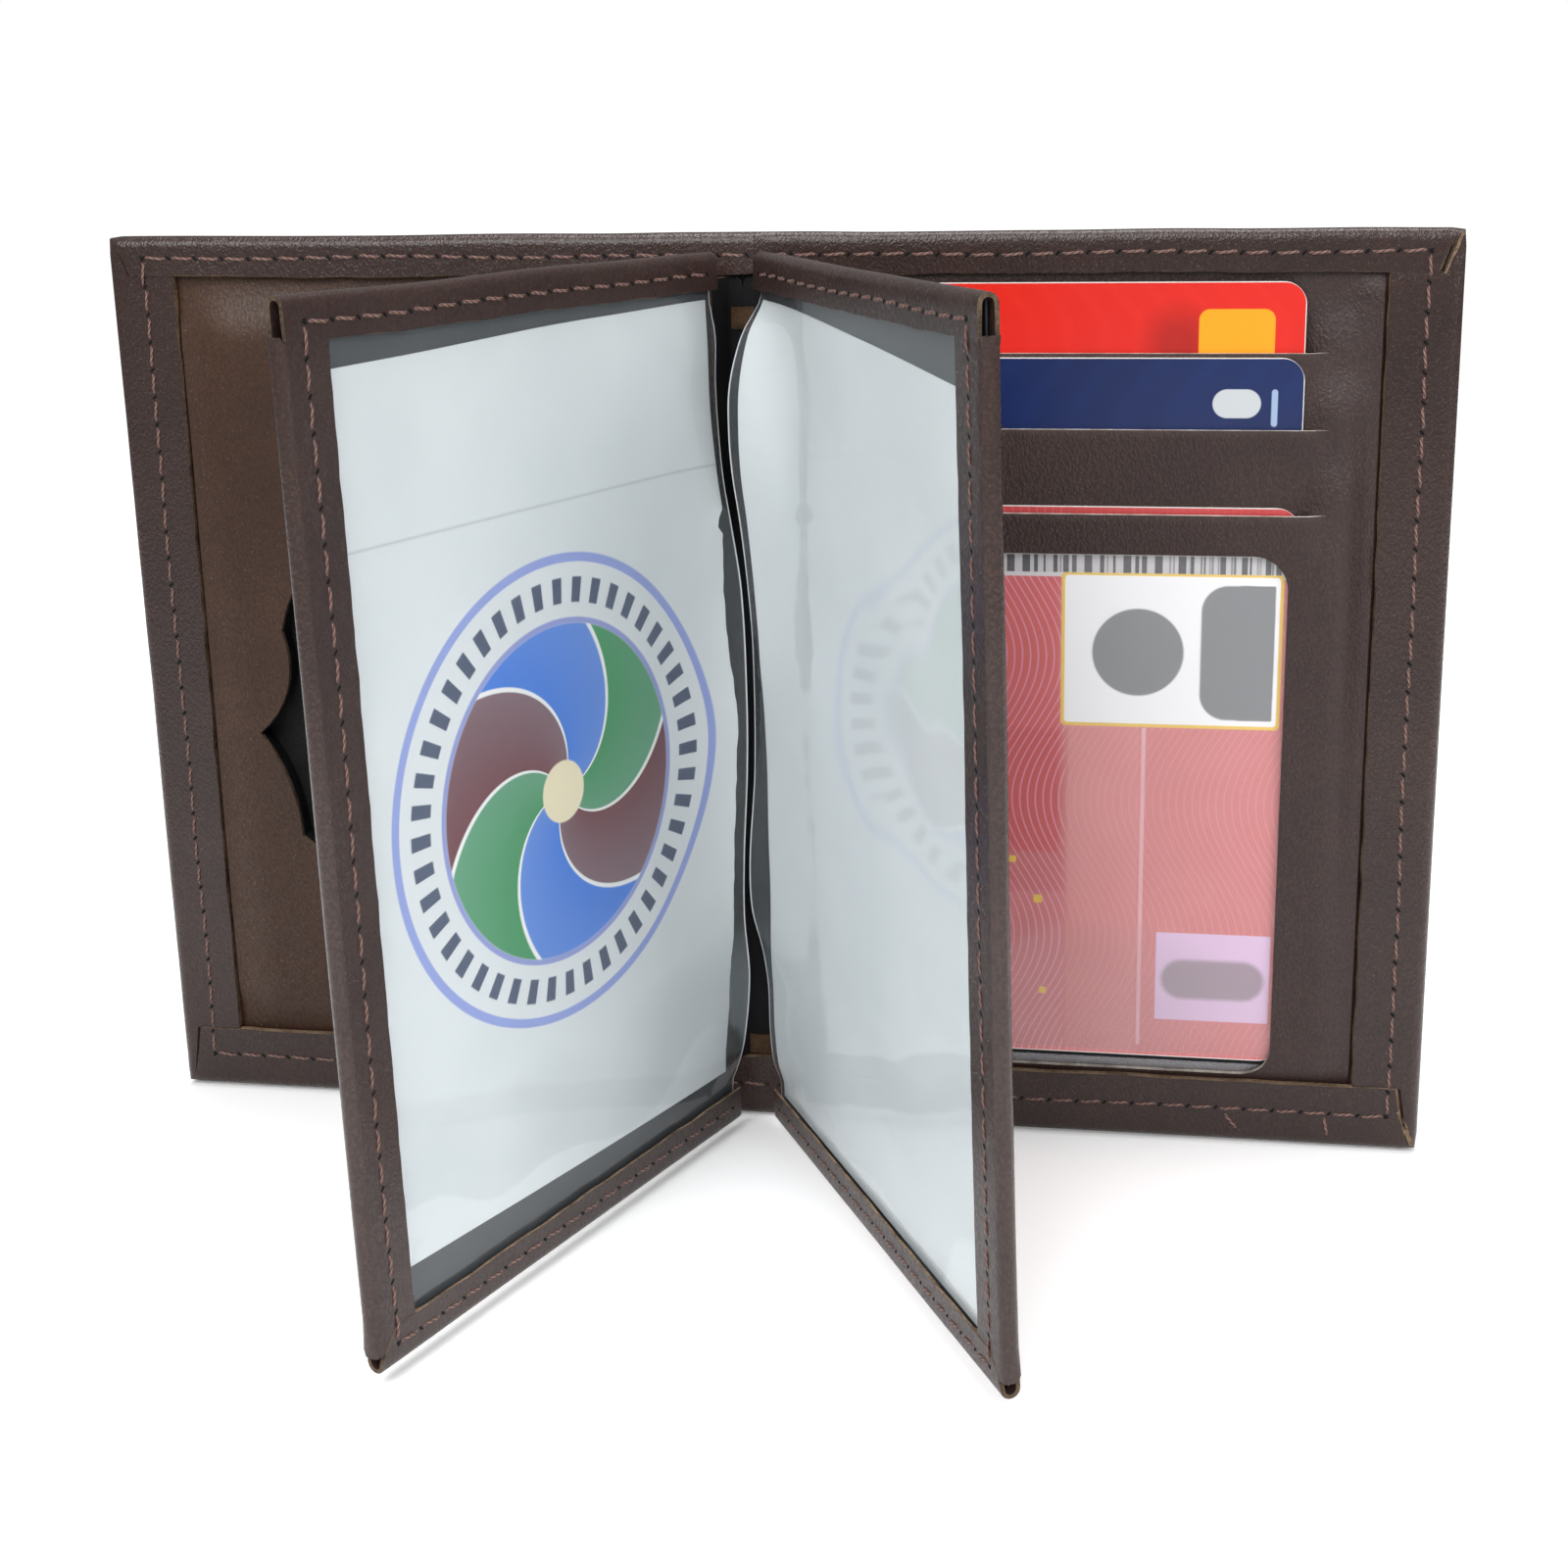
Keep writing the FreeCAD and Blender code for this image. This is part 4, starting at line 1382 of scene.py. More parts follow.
@dataclass
class CoverHalf:
    """One half of the outer cover: a single hide with turned and stitched edges."""

    side: Side
    finishes: Finishes
    stitcher: Stitcher
    reach: float = 99.0
    height: float = 138.0
    wall: float = 1.1
    roll: float = 1.65
    side_hem: float = 10.2
    top_hem: float = 6.0
    low_hem: float = 10.2
    corner_lap: float = 2.9
    fold_start: float = 7.6
    fold_end: float = 12.4
    corner: float = 3.0
    seam_top: float = 3.2
    seam_low: float = 5.6

    @property
    def edge(self) -> float:
        """Where the flat sheet ends across and its roll starts."""
        return self.reach - self.roll

    @property
    def lap(self) -> float:
        """How far a hem's end slants inwards over its width."""
        return self.corner_lap - self.roll + 0.3

    @property
    def tails(self) -> tuple[Seam, ...]:
        """The loose thread ends below the right half's lower seam."""
        if self.side is Side.LEFT:
            return ()
        return (Seam((69.8, 4.9), (72.2, 2.1)), Seam((85.0, 4.6), (85.5, 2.4)))

    @property
    def body(self) -> str:
        """The body that the half belongs to."""
        return f"cover_{self.side.word}"

    def sway(self, across: float, up: float) -> float:
        """Find how far the hide wavers out of its plane.

        Args:
            across: Place across the hide.
            up: Place up the hide.

        Returns:
            The waver in millimetres.
        """
        seed = 3.1 if self.side is Side.LEFT else 8.7
        slow = 0.2 * drift(across, up, 30.0, seed) + 0.07 * drift(across, up, 9.0, seed + 5.0)
        if self.side is Side.RIGHT:
            slow *= 1.0 - ease(up, 118.0, 129.0)
        return slow * ease(across, 9.0, 26.0)

    def hide(self) -> Piece:
        """Model the hide: a sheet whose border is rolled over and hemmed.

        Returns:
            The hide, before it is seated.
        """
        low, high = self.roll, self.height - self.roll
        sheet = lay_grid(f"cover_hide_{self.side.word}", spaced((0.0, 5.0, 15.0, self.edge), 1.5),
                         spaced((low, high), 2.0), self.wall / 2.0)
        radius = self.roll - self.wall / 2.0
        plane = BACK - self.wall / 2.0 - 2.0 * radius

        def level(spot: Vector) -> bool:
            """Say whether a place is on the hems' plane."""
            return abs(spot.y - plane) < NEAR

        with editing(sheet):
            pick(sheet, lambda spot: spot.x > self.edge - NEAR or spot.z < low + NEAR
                 or spot.z > high - NEAR)
            self.roll_border(low, high, radius)
            self.hem_end(sheet, level, high, -1.0, self.top_hem)
            self.hem_end(sheet, level, low, 1.0, self.low_hem)
            self.hem_side(sheet, level, low, high)
        move_points(sheet, self.soften)
        even_normals(sheet)
        wear(sheet, self.finishes.hide, self.finishes.cut)
        thicken(sheet, self.wall)
        move_points(sheet, self.skive)
        mark(sheet, "rub_and_film_highlight", lambda spot: max(
            ease(spot.x, self.reach - 1.8, self.reach - 0.2),
            ease(spot.z, self.height - 1.6, self.height - 0.1),
            ease(spot.z, 1.6, 0.1)))
        return sheet

    def roll_border(self, low: float, high: float, radius: float) -> None:
        """Roll the selected border over, ring by ring.

        Args:
            low: Where the flat sheet ends below.
            high: Where it ends above.
            radius: Radius of the roll's middle.
        """
        steps, spread = 8, 0.0
        for step in range(1, steps + 1):
            first, last = math.pi * (step - 1) / steps, math.pi * step / steps
            draw_out(FORWARD * (radius * (math.cos(first) - math.cos(last))))
            wider = radius * math.sin(last)
            stretch(((self.edge + wider) / (self.edge + spread), 1.0,
                     (high - low + 2.0 * wider) / (high - low + 2.0 * spread)),
                    (0.0, 0.0, (low + high) / 2.0))
            spread = wider

    def hem_end(self, sheet: Piece, level: Test, line: float, inward: float, width: float) -> None:
        """Lay the top or lower hem back over the front, its end cut on a slant.

        Args:
            sheet: The hide in edit mode.
            level: Says whether a place is on the hem's plane.
            line: Height where the roll ends.
            inward: Which way the hem runs, up or down.
            width: Hem's width from the cover's edge.
        """
        pick(sheet, lambda spot: level(spot) and abs(spot.z - line) < NEAR)
        steps, run = 4, width - self.roll
        lift = 0.0 if self.side is Side.RIGHT and inward < 0.0 else 0.3
        for step in range(1, steps + 1):
            draw_out(UP * (inward * run / steps) + FORWARD * (lift / steps if step > 1 else 0.0))
            before, after = (self.edge - self.lap * part / steps for part in (step - 1, step))
            stretch((after / before, 1.0, 1.0), (0.0, 0.0, 0.0))

    def hem_side(self, sheet: Piece, level: Test, low: float, high: float) -> None:
        """Lay the side hem back over the front, under the end hems.

        Args:
            sheet: The hide in edit mode.
            level: Says whether a place is on the hem's plane.
            low: Where the roll ends below.
            high: Where the roll ends above.
        """
        top, foot = self.height - self.top_hem, self.low_hem
        pick(sheet, lambda spot: level(spot) and abs(spot.x - self.edge) < NEAR)
        draw_out(-OUT * (self.corner_lap - self.roll) + UP * ((top + foot - high - low) / 2.0))
        stretch((1.0, 1.0, (top - foot) / (high - low)), (0.0, 0.0, (top + foot) / 2.0))
        for _ in range(4):
            draw_out(-OUT * ((self.side_hem - self.corner_lap) / 4.0))

    def soften(self, spot: Vector) -> Vector:
        """Waver the hide, round its corners and fray its raw edges a little.

        Args:
            spot: A point of the open sheet.

        Returns:
            Where it goes.
        """
        seed = 1.7 if self.side is Side.LEFT else 6.3
        side, top = self.reach - self.corner, self.height - self.corner
        over_x, over_z = spot.x - side, max(spot.z - top, self.corner - spot.z)
        if over_x > 0.0 and over_z > 0.0 and math.hypot(over_x, over_z) > self.corner:
            pull = 1.0 - 0.55 * (1.0 - self.corner / math.hypot(over_x, over_z))
            spot.x = side + over_x * pull
            spot.z = top + over_z * pull if spot.z > top else self.corner - over_z * pull
        if spot.y < 0.0 and abs(spot.x - (self.reach - self.side_hem)) < 0.05:
            spot.x += 0.22 * drift(0.0, spot.z, 4.0, seed)
        for line, row in ((self.height - self.top_hem, 0.0), (self.low_hem, 9.0)):
            if spot.y < 0.0 and abs(spot.z - line) < 0.05:
                spot.z += 0.2 * drift(spot.x, row, 5.0, seed)
        spot.z += 0.3 * drift(spot.x, 4.0, 22.0, seed) * ease(spot.z, 118.0, 136.0) \
            * ease(spot.x, 6.0, 20.0)
        if spot.y < BACK - 2.0:
            pull = math.sin(math.tau * spot.x / self.stitcher.pitch)
            spot.y += 0.07 * pull * ease(spot.z, 134.6, 136.4)
        spot.y += self.sway(spot.x, spot.z)
        return spot

    def skive(self, spot: Vector) -> Vector:
        """Pare the raw edges to a slope, and thin the top hem that the cards slide over.

        Args:
            spot: A point of the thick hide.

        Returns:
            Where it goes.
        """
        if spot.y > BACK - 2.85:
            return spot
        if abs(spot.x - (self.reach - self.side_hem)) < 0.4:
            spot.x += 0.15 if self.side is Side.RIGHT else 0.04
        if abs(spot.z - (self.height - self.top_hem)) < 0.4:
            spot.z += 0.14
        for run, inset in ((self.top_hem, self.height - spot.z), (self.low_hem, spot.z)):
            share = (inset - self.roll) / (run - self.roll)
            if 0.1 < share < 1.15 and abs(spot.x - (self.edge - self.lap * share)) < 0.25:
                spot.x -= (0.5 if self.side is Side.RIGHT else 0.25) * ease(share, 0.0, 0.4)
        if self.side is Side.RIGHT:
            spot.y += 0.24 * ease(spot.z, 130.0, 131.4)
        return spot

    def raw_corner(self, hide: Piece, name: str, inner: Spot, outer: Spot,
                   width: float) -> Piece:
        """Model the raw end of a hem, which shows as a slanting sliver at a corner.

        Args:
            hide: The hide, before it is seated.
            name: Name of the piece.
            inner: Its end on the hem, across and up.
            outer: Its end at the corner.
            width: Its width at the corner.

        Returns:
            The sliver, laid on the hide.
        """
        skin = skin_of(hide)
        sheet = lay_grid(name, (-0.5, 0.0, 0.5), spaced((0.0, 1.0), 0.07), 0.0)
        start, run = Vector(inner), Vector(outer) - Vector(inner)
        across = run.orthogonal().normalized()

        def lay(spot: Vector) -> Vector:
            """Narrow the sliver inwards and drop it on the hide."""
            wide = width * (0.4 + 0.6 * spot.z) * (1.0 + 0.5 * drift(spot.x, spot.z, 0.15, 2.6))
            place = start + run * spot.z + across * (wide * spot.x)
            hit = skin.ray_cast(Vector((place.x, -40.0, place.y)), -FORWARD)[0]
            return Vector((place.x, hit.y - 0.04, place.y))

        move_points(sheet, lay)
        even_normals(sheet)
        wear(sheet, self.finishes.cut, self.finishes.cut)
        thicken(sheet, 0.14)
        return sheet

    def build(self) -> None:
        """Model, sew and seat the half."""
        hide = self.hide()
        across = self.reach - (5.6 if self.side is Side.LEFT else 4.8)
        top, low = self.height - self.seam_top, self.seam_low
        threads, holes = self.stitcher.sew(self.body, hide, (
            Seam((1.0, top), (across, top)), Seam((across, top), (across, low)),
            Seam((across, low), (1.0, low))), self.tails)
        slivers = [] if self.side is Side.LEFT else [
            self.raw_corner(hide, "corner_edge_top", (96.2, 131.7), (98.4, 137.3), 0.6),
            self.raw_corner(hide, "corner_edge_low", (95.9, 6.6), (98.2, 0.9), 1.0)]
        start, end = ((self.side.value * line * MM, 0.0, self.height / 2.0 * MM)
                      for line in (self.fold_start, self.fold_end))
        for piece in (hide, threads, holes):
            fit_bend(piece, self.side.turn, (start, end))
        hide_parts(f"cover_leather_{self.side.word}", "spine_leather")
        for sliver in slivers:
            fit(sliver, self.side.turn, self.body, "cover_hide")


@dataclass
class BadgePanel:
    """The padded left panel: leather over foam, with a shield cut down to a black floor."""

    finishes: Finishes
    cover: CoverHalf
    middle: float = 50.0
    centre: float = 66.0
    start: float = 12.5
    end: float = 97.5
    foot: float = 1.5
    head: float = 136.5
    wall: float = 0.7
    rim: float = 2.1
    rise: float = 2.55
    outline: tuple[Spot, ...] = (
        (0.0, 31.0), (24.6, 44.6), (30.3, 61.4), (25.5, 78.0), (13.5, 94.0), (0.0, 97.5))
    bows: tuple[float, ...] = (1.6, -1.4, -2.8, 2.2, -1.6)

    def shield_points(self, grow: float) -> list[Spot]:
        """Walk round the shield.

        Args:
            grow: How much larger than the cut to draw it.

        Returns:
            Places across and up, all the way round.
        """
        half: list[Spot] = []
        steps = 9
        for (x0, z0), (x1, z1), bow in zip(self.outline, self.outline[1:], self.bows):
            run = Vector((x1 - x0, z1 - z0))
            outward = Vector((run.y, -run.x)).normalized()
            for step in range(steps):
                share = step / steps
                swell = 4.0 * bow * share * (1.0 - share)
                half.append((x0 + run.x * share + outward.x * swell,
                             z0 + run.y * share + outward.y * swell))
        half.append(self.outline[-1])
        whole = half + [(-x, z) for x, z in reversed(half[1:-1])]
        return [(self.middle + x * (1.0 + grow), self.centre + (z - self.centre) * (1.0 + grow))
                for x, z in whole]

    def shield_cutter(self, grow: float = 0.0) -> Piece:
        """Model the cutter: a filled ring drawn to the shield and extruded.

        Args:
            grow: How much larger than the cut to draw it.

        Returns:
            The cutter.
        """
        points = self.shield_points(grow)
        clear_selection()
        bpy.ops.mesh.primitive_circle_add(vertices=len(points), radius=1.0, fill_type="NGON")
        cutter = bpy.context.object
        for corner, (across, up) in zip(cutter.data.vertices, points):
            corner.co = (across, BACK - 1.61, up)
        with editing(cutter, "FACE"):
            deepen(-9.0)
        even_normals(cutter)
        return cutter

    def swell(self, across: float, up: float) -> float:
        """Find how much of the pad's full height stands at a place.

        Args:
            across: Place across the panel.
            up: Place up the panel.

        Returns:
            A share from 0 to 1.
        """
        fall = 0.62 * ease(across, 80.5, 88.2) + 0.38 * ease(across, 88.1, 88.7)
        return (ease(across, 12.9, 24.0) * (1.0 - fall)
                * ease(up, 10.0, 20.0) * (1.0 - ease(up, 122.0, 132.2)))

    def facing(self) -> Piece:
        """Model the leather over the pad and cut the shield.

        Returns:
            The leather.
        """
        sheet = lay_grid("badge_panel_leather",
                         spaced((self.start, 87.5, 88.1, 88.4, 88.7, self.end), 1.2),
                         spaced((self.foot, self.head), 1.35), self.rim)

        def lie(spot: Vector) -> Vector:
            """Lay the leather over the pad and the hide."""
            swell = self.swell(spot.x, spot.z)
            soft = 0.10 * drift(spot.x, spot.z, 14.0, 2.2) + 0.05 * drift(spot.x, spot.z, 5.0, 4.4)
            depth = self.rim + self.rise * swell - self.wall / 2.0 + soft * swell
            return Vector((spot.x, BACK - depth + self.cover.sway(spot.x, spot.z), spot.z))

        move_points(sheet, lie)
        even_normals(sheet)
        wear(sheet, self.finishes.warm, self.finishes.cut)
        thicken(sheet, self.wall)
        cut_out(sheet, self.shield_cutter())
        for face in sheet.data.polygons:
            if abs(face.normal.y) < 0.35:
                face.material_index = 1
        mark(sheet, "rub_and_film_highlight", lambda spot: 0.15 * ease(self.swell(spot.x, spot.z), 0.1, 0.5)
             * (1.0 - ease(self.swell(spot.x, spot.z), 0.5, 0.95)))
        return sheet

    def pad(self) -> Piece:
        """Model the foam that fills the facing, cut through by the shield.

        Returns:
            The pad.
        """
        slab = lay_grid("badge_foam_pad", spaced((13.6, 88.0), 2.0), spaced((11.0, 131.2), 2.0),
                        2.0)
        move_points(slab, lambda spot: Vector((spot.x, BACK - max(
            1.7, self.rim + self.rise * self.swell(spot.x, spot.z) - self.wall - 0.06), spot.z)))
        with editing(slab, "FACE"):
            deepen(0.5)
            stretch((1.0, 0.0, 1.0), (0.0, BACK - 1.6, 0.0))
        even_normals(slab)
        cut_out(slab, self.shield_cutter(-0.006))
        wear(slab, self.finishes.foam)
        return slab

    def floor(self) -> Piece:
        """Model the black sheet at the bottom of the recess.

        Returns:
            The sheet.
        """
        sheet = lay_grid("badge_recess_floor", spaced((self.start, self.end), 3.0),
                         spaced((self.foot, self.head), 3.0), 1.4)
        move_points(sheet, lambda spot: spot + FORWARD * (0.05 * drift(spot.x, spot.z, 11.0, 7.7)))
        wear(sheet, self.finishes.floor, self.finishes.floor)
        thicken(sheet, 0.3)
        return sheet

    def build(self) -> None:
        """Model and seat the panel."""
        facing, pad, floor = self.facing(), self.pad(), self.floor()
        for piece, node, slot in ((facing, "badge_facing", "facing_leather"),
                                  (pad, "badge_foam", "black_foam"),
                                  (floor, "badge_floor", "black_lining")):
            fit(piece, Side.LEFT.turn, "cover_left", slot, node)


@dataclass
class CardPanel:
    """The right panel: stepped leather with three slits and a window, and its film."""

    finishes: Finishes
    cover: CoverHalf
    middle: float = 50.8
    start: float = 12.5
    end: float = 97.5
    foot: float = 1.5
    head: float = 136.5
    wall: float = 0.7
    rim: float = 2.1
    slit_half: float = 30.62
    card_half: float = 27.4
    slits: tuple[float, float, float] = (98.4, 110.3, 120.9)
    window: Box = (25.11, 11.3, 76.49, 92.6)
    window_round: float = 5.0
    leans: tuple[tuple[float, float, float], ...] = (
        (2.658, 0.03669, 13.8), (2.398, 0.02804, 34.8), (1.66, 0.01959, 45.2))
    card: float = 0.76
    over_card: float = 1.52
    film_room: float = 0.17
    film_flat: Spot = (61.0, 86.2)

    def card_back(self, tier: int, up: float) -> float:
        """Find the depth of a leaning card's rear face at a height."""
        depth, lean, foot = self.leans[tier]
        return depth + lean * (up - foot)

    def tier_depth(self, tier: int, up: float) -> float:
        """Depth of the leather's front over one card.

        Args:
            tier: 0 over the lowest card, 3 above the top slit.
            up: Height of the place.

        Returns:
            The depth in front of the wallet's back.
        """
        if tier == len(self.leans):
            return self.rim
        depth = self.card_back(tier, up) + self.over_card
        if tier == 0:
            return self.rim + (depth + self.film_room - self.rim) * ease(up, 9.6, 13.4)
        return depth

    def front(self, across: float, up: float, tier: int) -> float:
        """Find the depth of the leather's front at a place.

        Args:
            across: Place across the panel.
            up: Place up the panel.
            tier: 0 over the lowest card, 3 above the top slit.

        Returns:
            The depth in front of the wallet's back.
        """
        open_share = 1.0 - ease(abs(across - self.middle), self.card_half, self.slit_half)
        depth = self.tier_depth(tier, up)
        for below, slit in enumerate(self.slits):
            gap = self.tier_depth(below, slit) - self.tier_depth(below + 1, slit)
            near = 1.0 - ease(abs(up - slit), 0.0, 8.0)
            shut = 0.5 * gap * near * (1.0 - open_share)
            if tier == below:
                depth -= shut
            elif tier == below + 1:
                depth += shut
        flank = ease(across, 12.9, 19.6) * (1.0 - ease(across, 83.0, 88.2))
        lip = 0.95 * ease(up, 10.2, 12.5) * (1.0 - ease(up, 129.5, 131.8))
        edge = lip * ease(across, 12.9, 19.6) * (1.0 - ease(across, 88.1, 88.7))
        depth = self.rim + edge + (depth - self.rim - lip) * flank
        return depth + 0.05 * drift(across, up, 10.0, 5.5) * flank

    def facing(self) -> Piece:
        """Model the leather: a grid slit at three heights and raised over the cards.

        Returns:
            The leather.
        """
        first, last = self.middle - self.slit_half, self.middle + self.slit_half
        sheet = lay_grid("card_panel_leather",
                         spaced((self.start, first, last, 87.5, 88.1, 88.4, 88.7, self.end), 1.3),
                         spaced((self.foot, *self.slits, self.head), 1.3), self.rim)
        with editing(sheet):
            pick(sheet, lambda spot: any(abs(spot.z - slit) < NEAR for slit in self.slits)
                 and first - NEAR < spot.x < last + NEAR, border=False)
            bpy.ops.mesh.edge_split(type="EDGE")
        work = bmesh.new()
        work.from_mesh(sheet.data)
        for corner in work.verts:
            centre = sum(face.calc_center_median().z for face in corner.link_faces) \
                / len(corner.link_faces)
            tier = sum(centre > slit for slit in self.slits)
            depth = self.front(corner.co.x, corner.co.z, tier) - self.wall / 2.0
            flank = ease(corner.co.x, 14.0, 19.0) * (1.0 - ease(corner.co.x, 82.0, 88.0))
            corner.co.y = BACK - depth + self.cover.sway(corner.co.x, corner.co.z) * (1.0 - flank)
        work.to_mesh(sheet.data)
        work.free()
        wear(sheet, self.finishes.facing, self.finishes.lip)
        thicken(sheet, self.wall)
        cut_out(sheet, self.window_cutter())
        low_x, low_z, high_x, high_z = self.window
        for face in sheet.data.polygons:
            spot = face.center
            if abs(face.normal.y) < 0.3 and low_x - 0.3 < spot.x < high_x + 0.3 \
                    and low_z - 0.3 < spot.z < high_z + 0.3:
                face.material_index = 1
        mark(sheet, "rub_and_film_highlight", lambda spot: 0.6 * max(
            1.0 - ease(abs(spot.z - slit), 0.0, 0.8) for slit in self.slits)
            * ease(spot.x, first, first + 2.0) * (1.0 - ease(spot.x, last - 2.0, last)))
        return sheet

    def window_cutter(self) -> Piece:
        """Model the window's cutter: a slab with rounded corners.

        Returns:
            The cutter.
        """
        low_x, low_z, high_x, high_z = self.window
        clear_selection()
        bpy.ops.mesh.primitive_cube_add(size=1.0, location=(
            (low_x + high_x) / 2.0, -3.0, (low_z + high_z) / 2.0))
        slab = bpy.context.object
        slab.scale = (high_x - low_x, 9.0, high_z - low_z)
        bpy.ops.object.transform_apply(location=True, rotation=True, scale=True)
        with editing(slab):
            pick_long(slab, 1, 1.0)
            bpy.ops.mesh.bevel(offset=self.window_round, segments=9, profile=0.5)
        return slab

    def film(self) -> Piece:
        """Model the window's film, a little rippled.

        Returns:
            The film.
        """
        sheet = lay_grid("id_window_sheet", spaced((20.3, 81.3), 2.0), spaced((10.9, 97.0), 2.0),
                         self.rim)

        def lie(spot: Vector) -> Vector:
            """Lean the film with the card behind it."""
            depth = self.card_back(0, spot.z) + self.card + 0.09
            depth -= 1.45 * (1.0 - ease(spot.z, 11.2, 13.8))
            soft = 0.03 * drift(spot.x, spot.z, 17.0, 9.1)
            return Vector((spot.x, BACK - depth - max(soft, -0.01), spot.z))

        move_points(sheet, lie)
        wear(sheet, self.finishes.window, self.finishes.window)
        mark(sheet, "loose", lambda spot: 1.0 - ease(spot.z, 13.6, 14.6))
        thicken(sheet, 0.08)
        return sheet

    def build(self) -> None:
        """Model and seat the panel."""
        facing, film = self.facing(), self.film()
        for piece, node, slot in ((facing, "card_facing", "facing_leather"),
                                  (film, "id_window_film", "clear_vinyl")):
            fit(piece, Side.RIGHT.turn, "cover_right", slot, node)


@dataclass
class Spine:
    """The gutter between the covers: its lining and two suede tabs."""

    finishes: Finishes

    @staticmethod
    def extent(node: str) -> list[float]:
        """Find where a node starts and ends across, in depth and up, in millimetres."""
        low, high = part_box(node)
        return [end / MM for axis in range(3) for end in (low[axis], high[axis])]

    def lining(self) -> None:
        """Model and seat the black lining of the spine."""
        left, right, _, _, foot, head = self.extent("spine_lining")
        sheet = lay_grid("spine_cloth", spaced((left, right), 1.5), spaced((foot, head), 4.0), 1.4)
        move_points(sheet, lambda spot: spot + FORWARD * (0.04 * drift(spot.x, spot.z, 9.0, 3.3)))
        wear(sheet, self.finishes.lining, self.finishes.lining)
        thicken(sheet, 0.34)
        fit(sheet, UNMOVED, "spine", "black_lining", "spine_lining")

    def tab(self, node: str) -> None:
        """Model and seat one suede tab with slightly ragged edges.

        Args:
            node: The tab's node in the frame.
        """
        left, right, front, rear, foot, head = self.extent(node)
        sheet = lay_grid(node.replace("spine_tab", "suede_tab"), spaced((left, right), 0.3),
                         spaced((foot, head), 0.3), BACK - (front + rear) / 2.0)
        middle = (left + right) / 2.0

        def fray(spot: Vector) -> Vector:
            """Bow the tab forwards and tear its edges a little."""
            ragged = 0.14 * drift(spot.x * 3.0, spot.z * 3.0, 1.6, 4.9)
            bow = 0.2 * (1.0 - ((spot.x - middle) / (right - middle)) ** 2)
            return Vector((spot.x, spot.y - bow + 0.1, spot.z + ragged))

        move_points(sheet, fray)
        wear(sheet, self.finishes.suede, self.finishes.suede)
        thicken(sheet, (rear - front) * 0.9)
        fit(sheet, UNMOVED, "spine", "suede", node)

    def build(self) -> None:
        """Model and seat the spine's pieces."""
        self.lining()
        for node in ("spine_tab_top", "spine_tab_bottom"):
            self.tab(node)


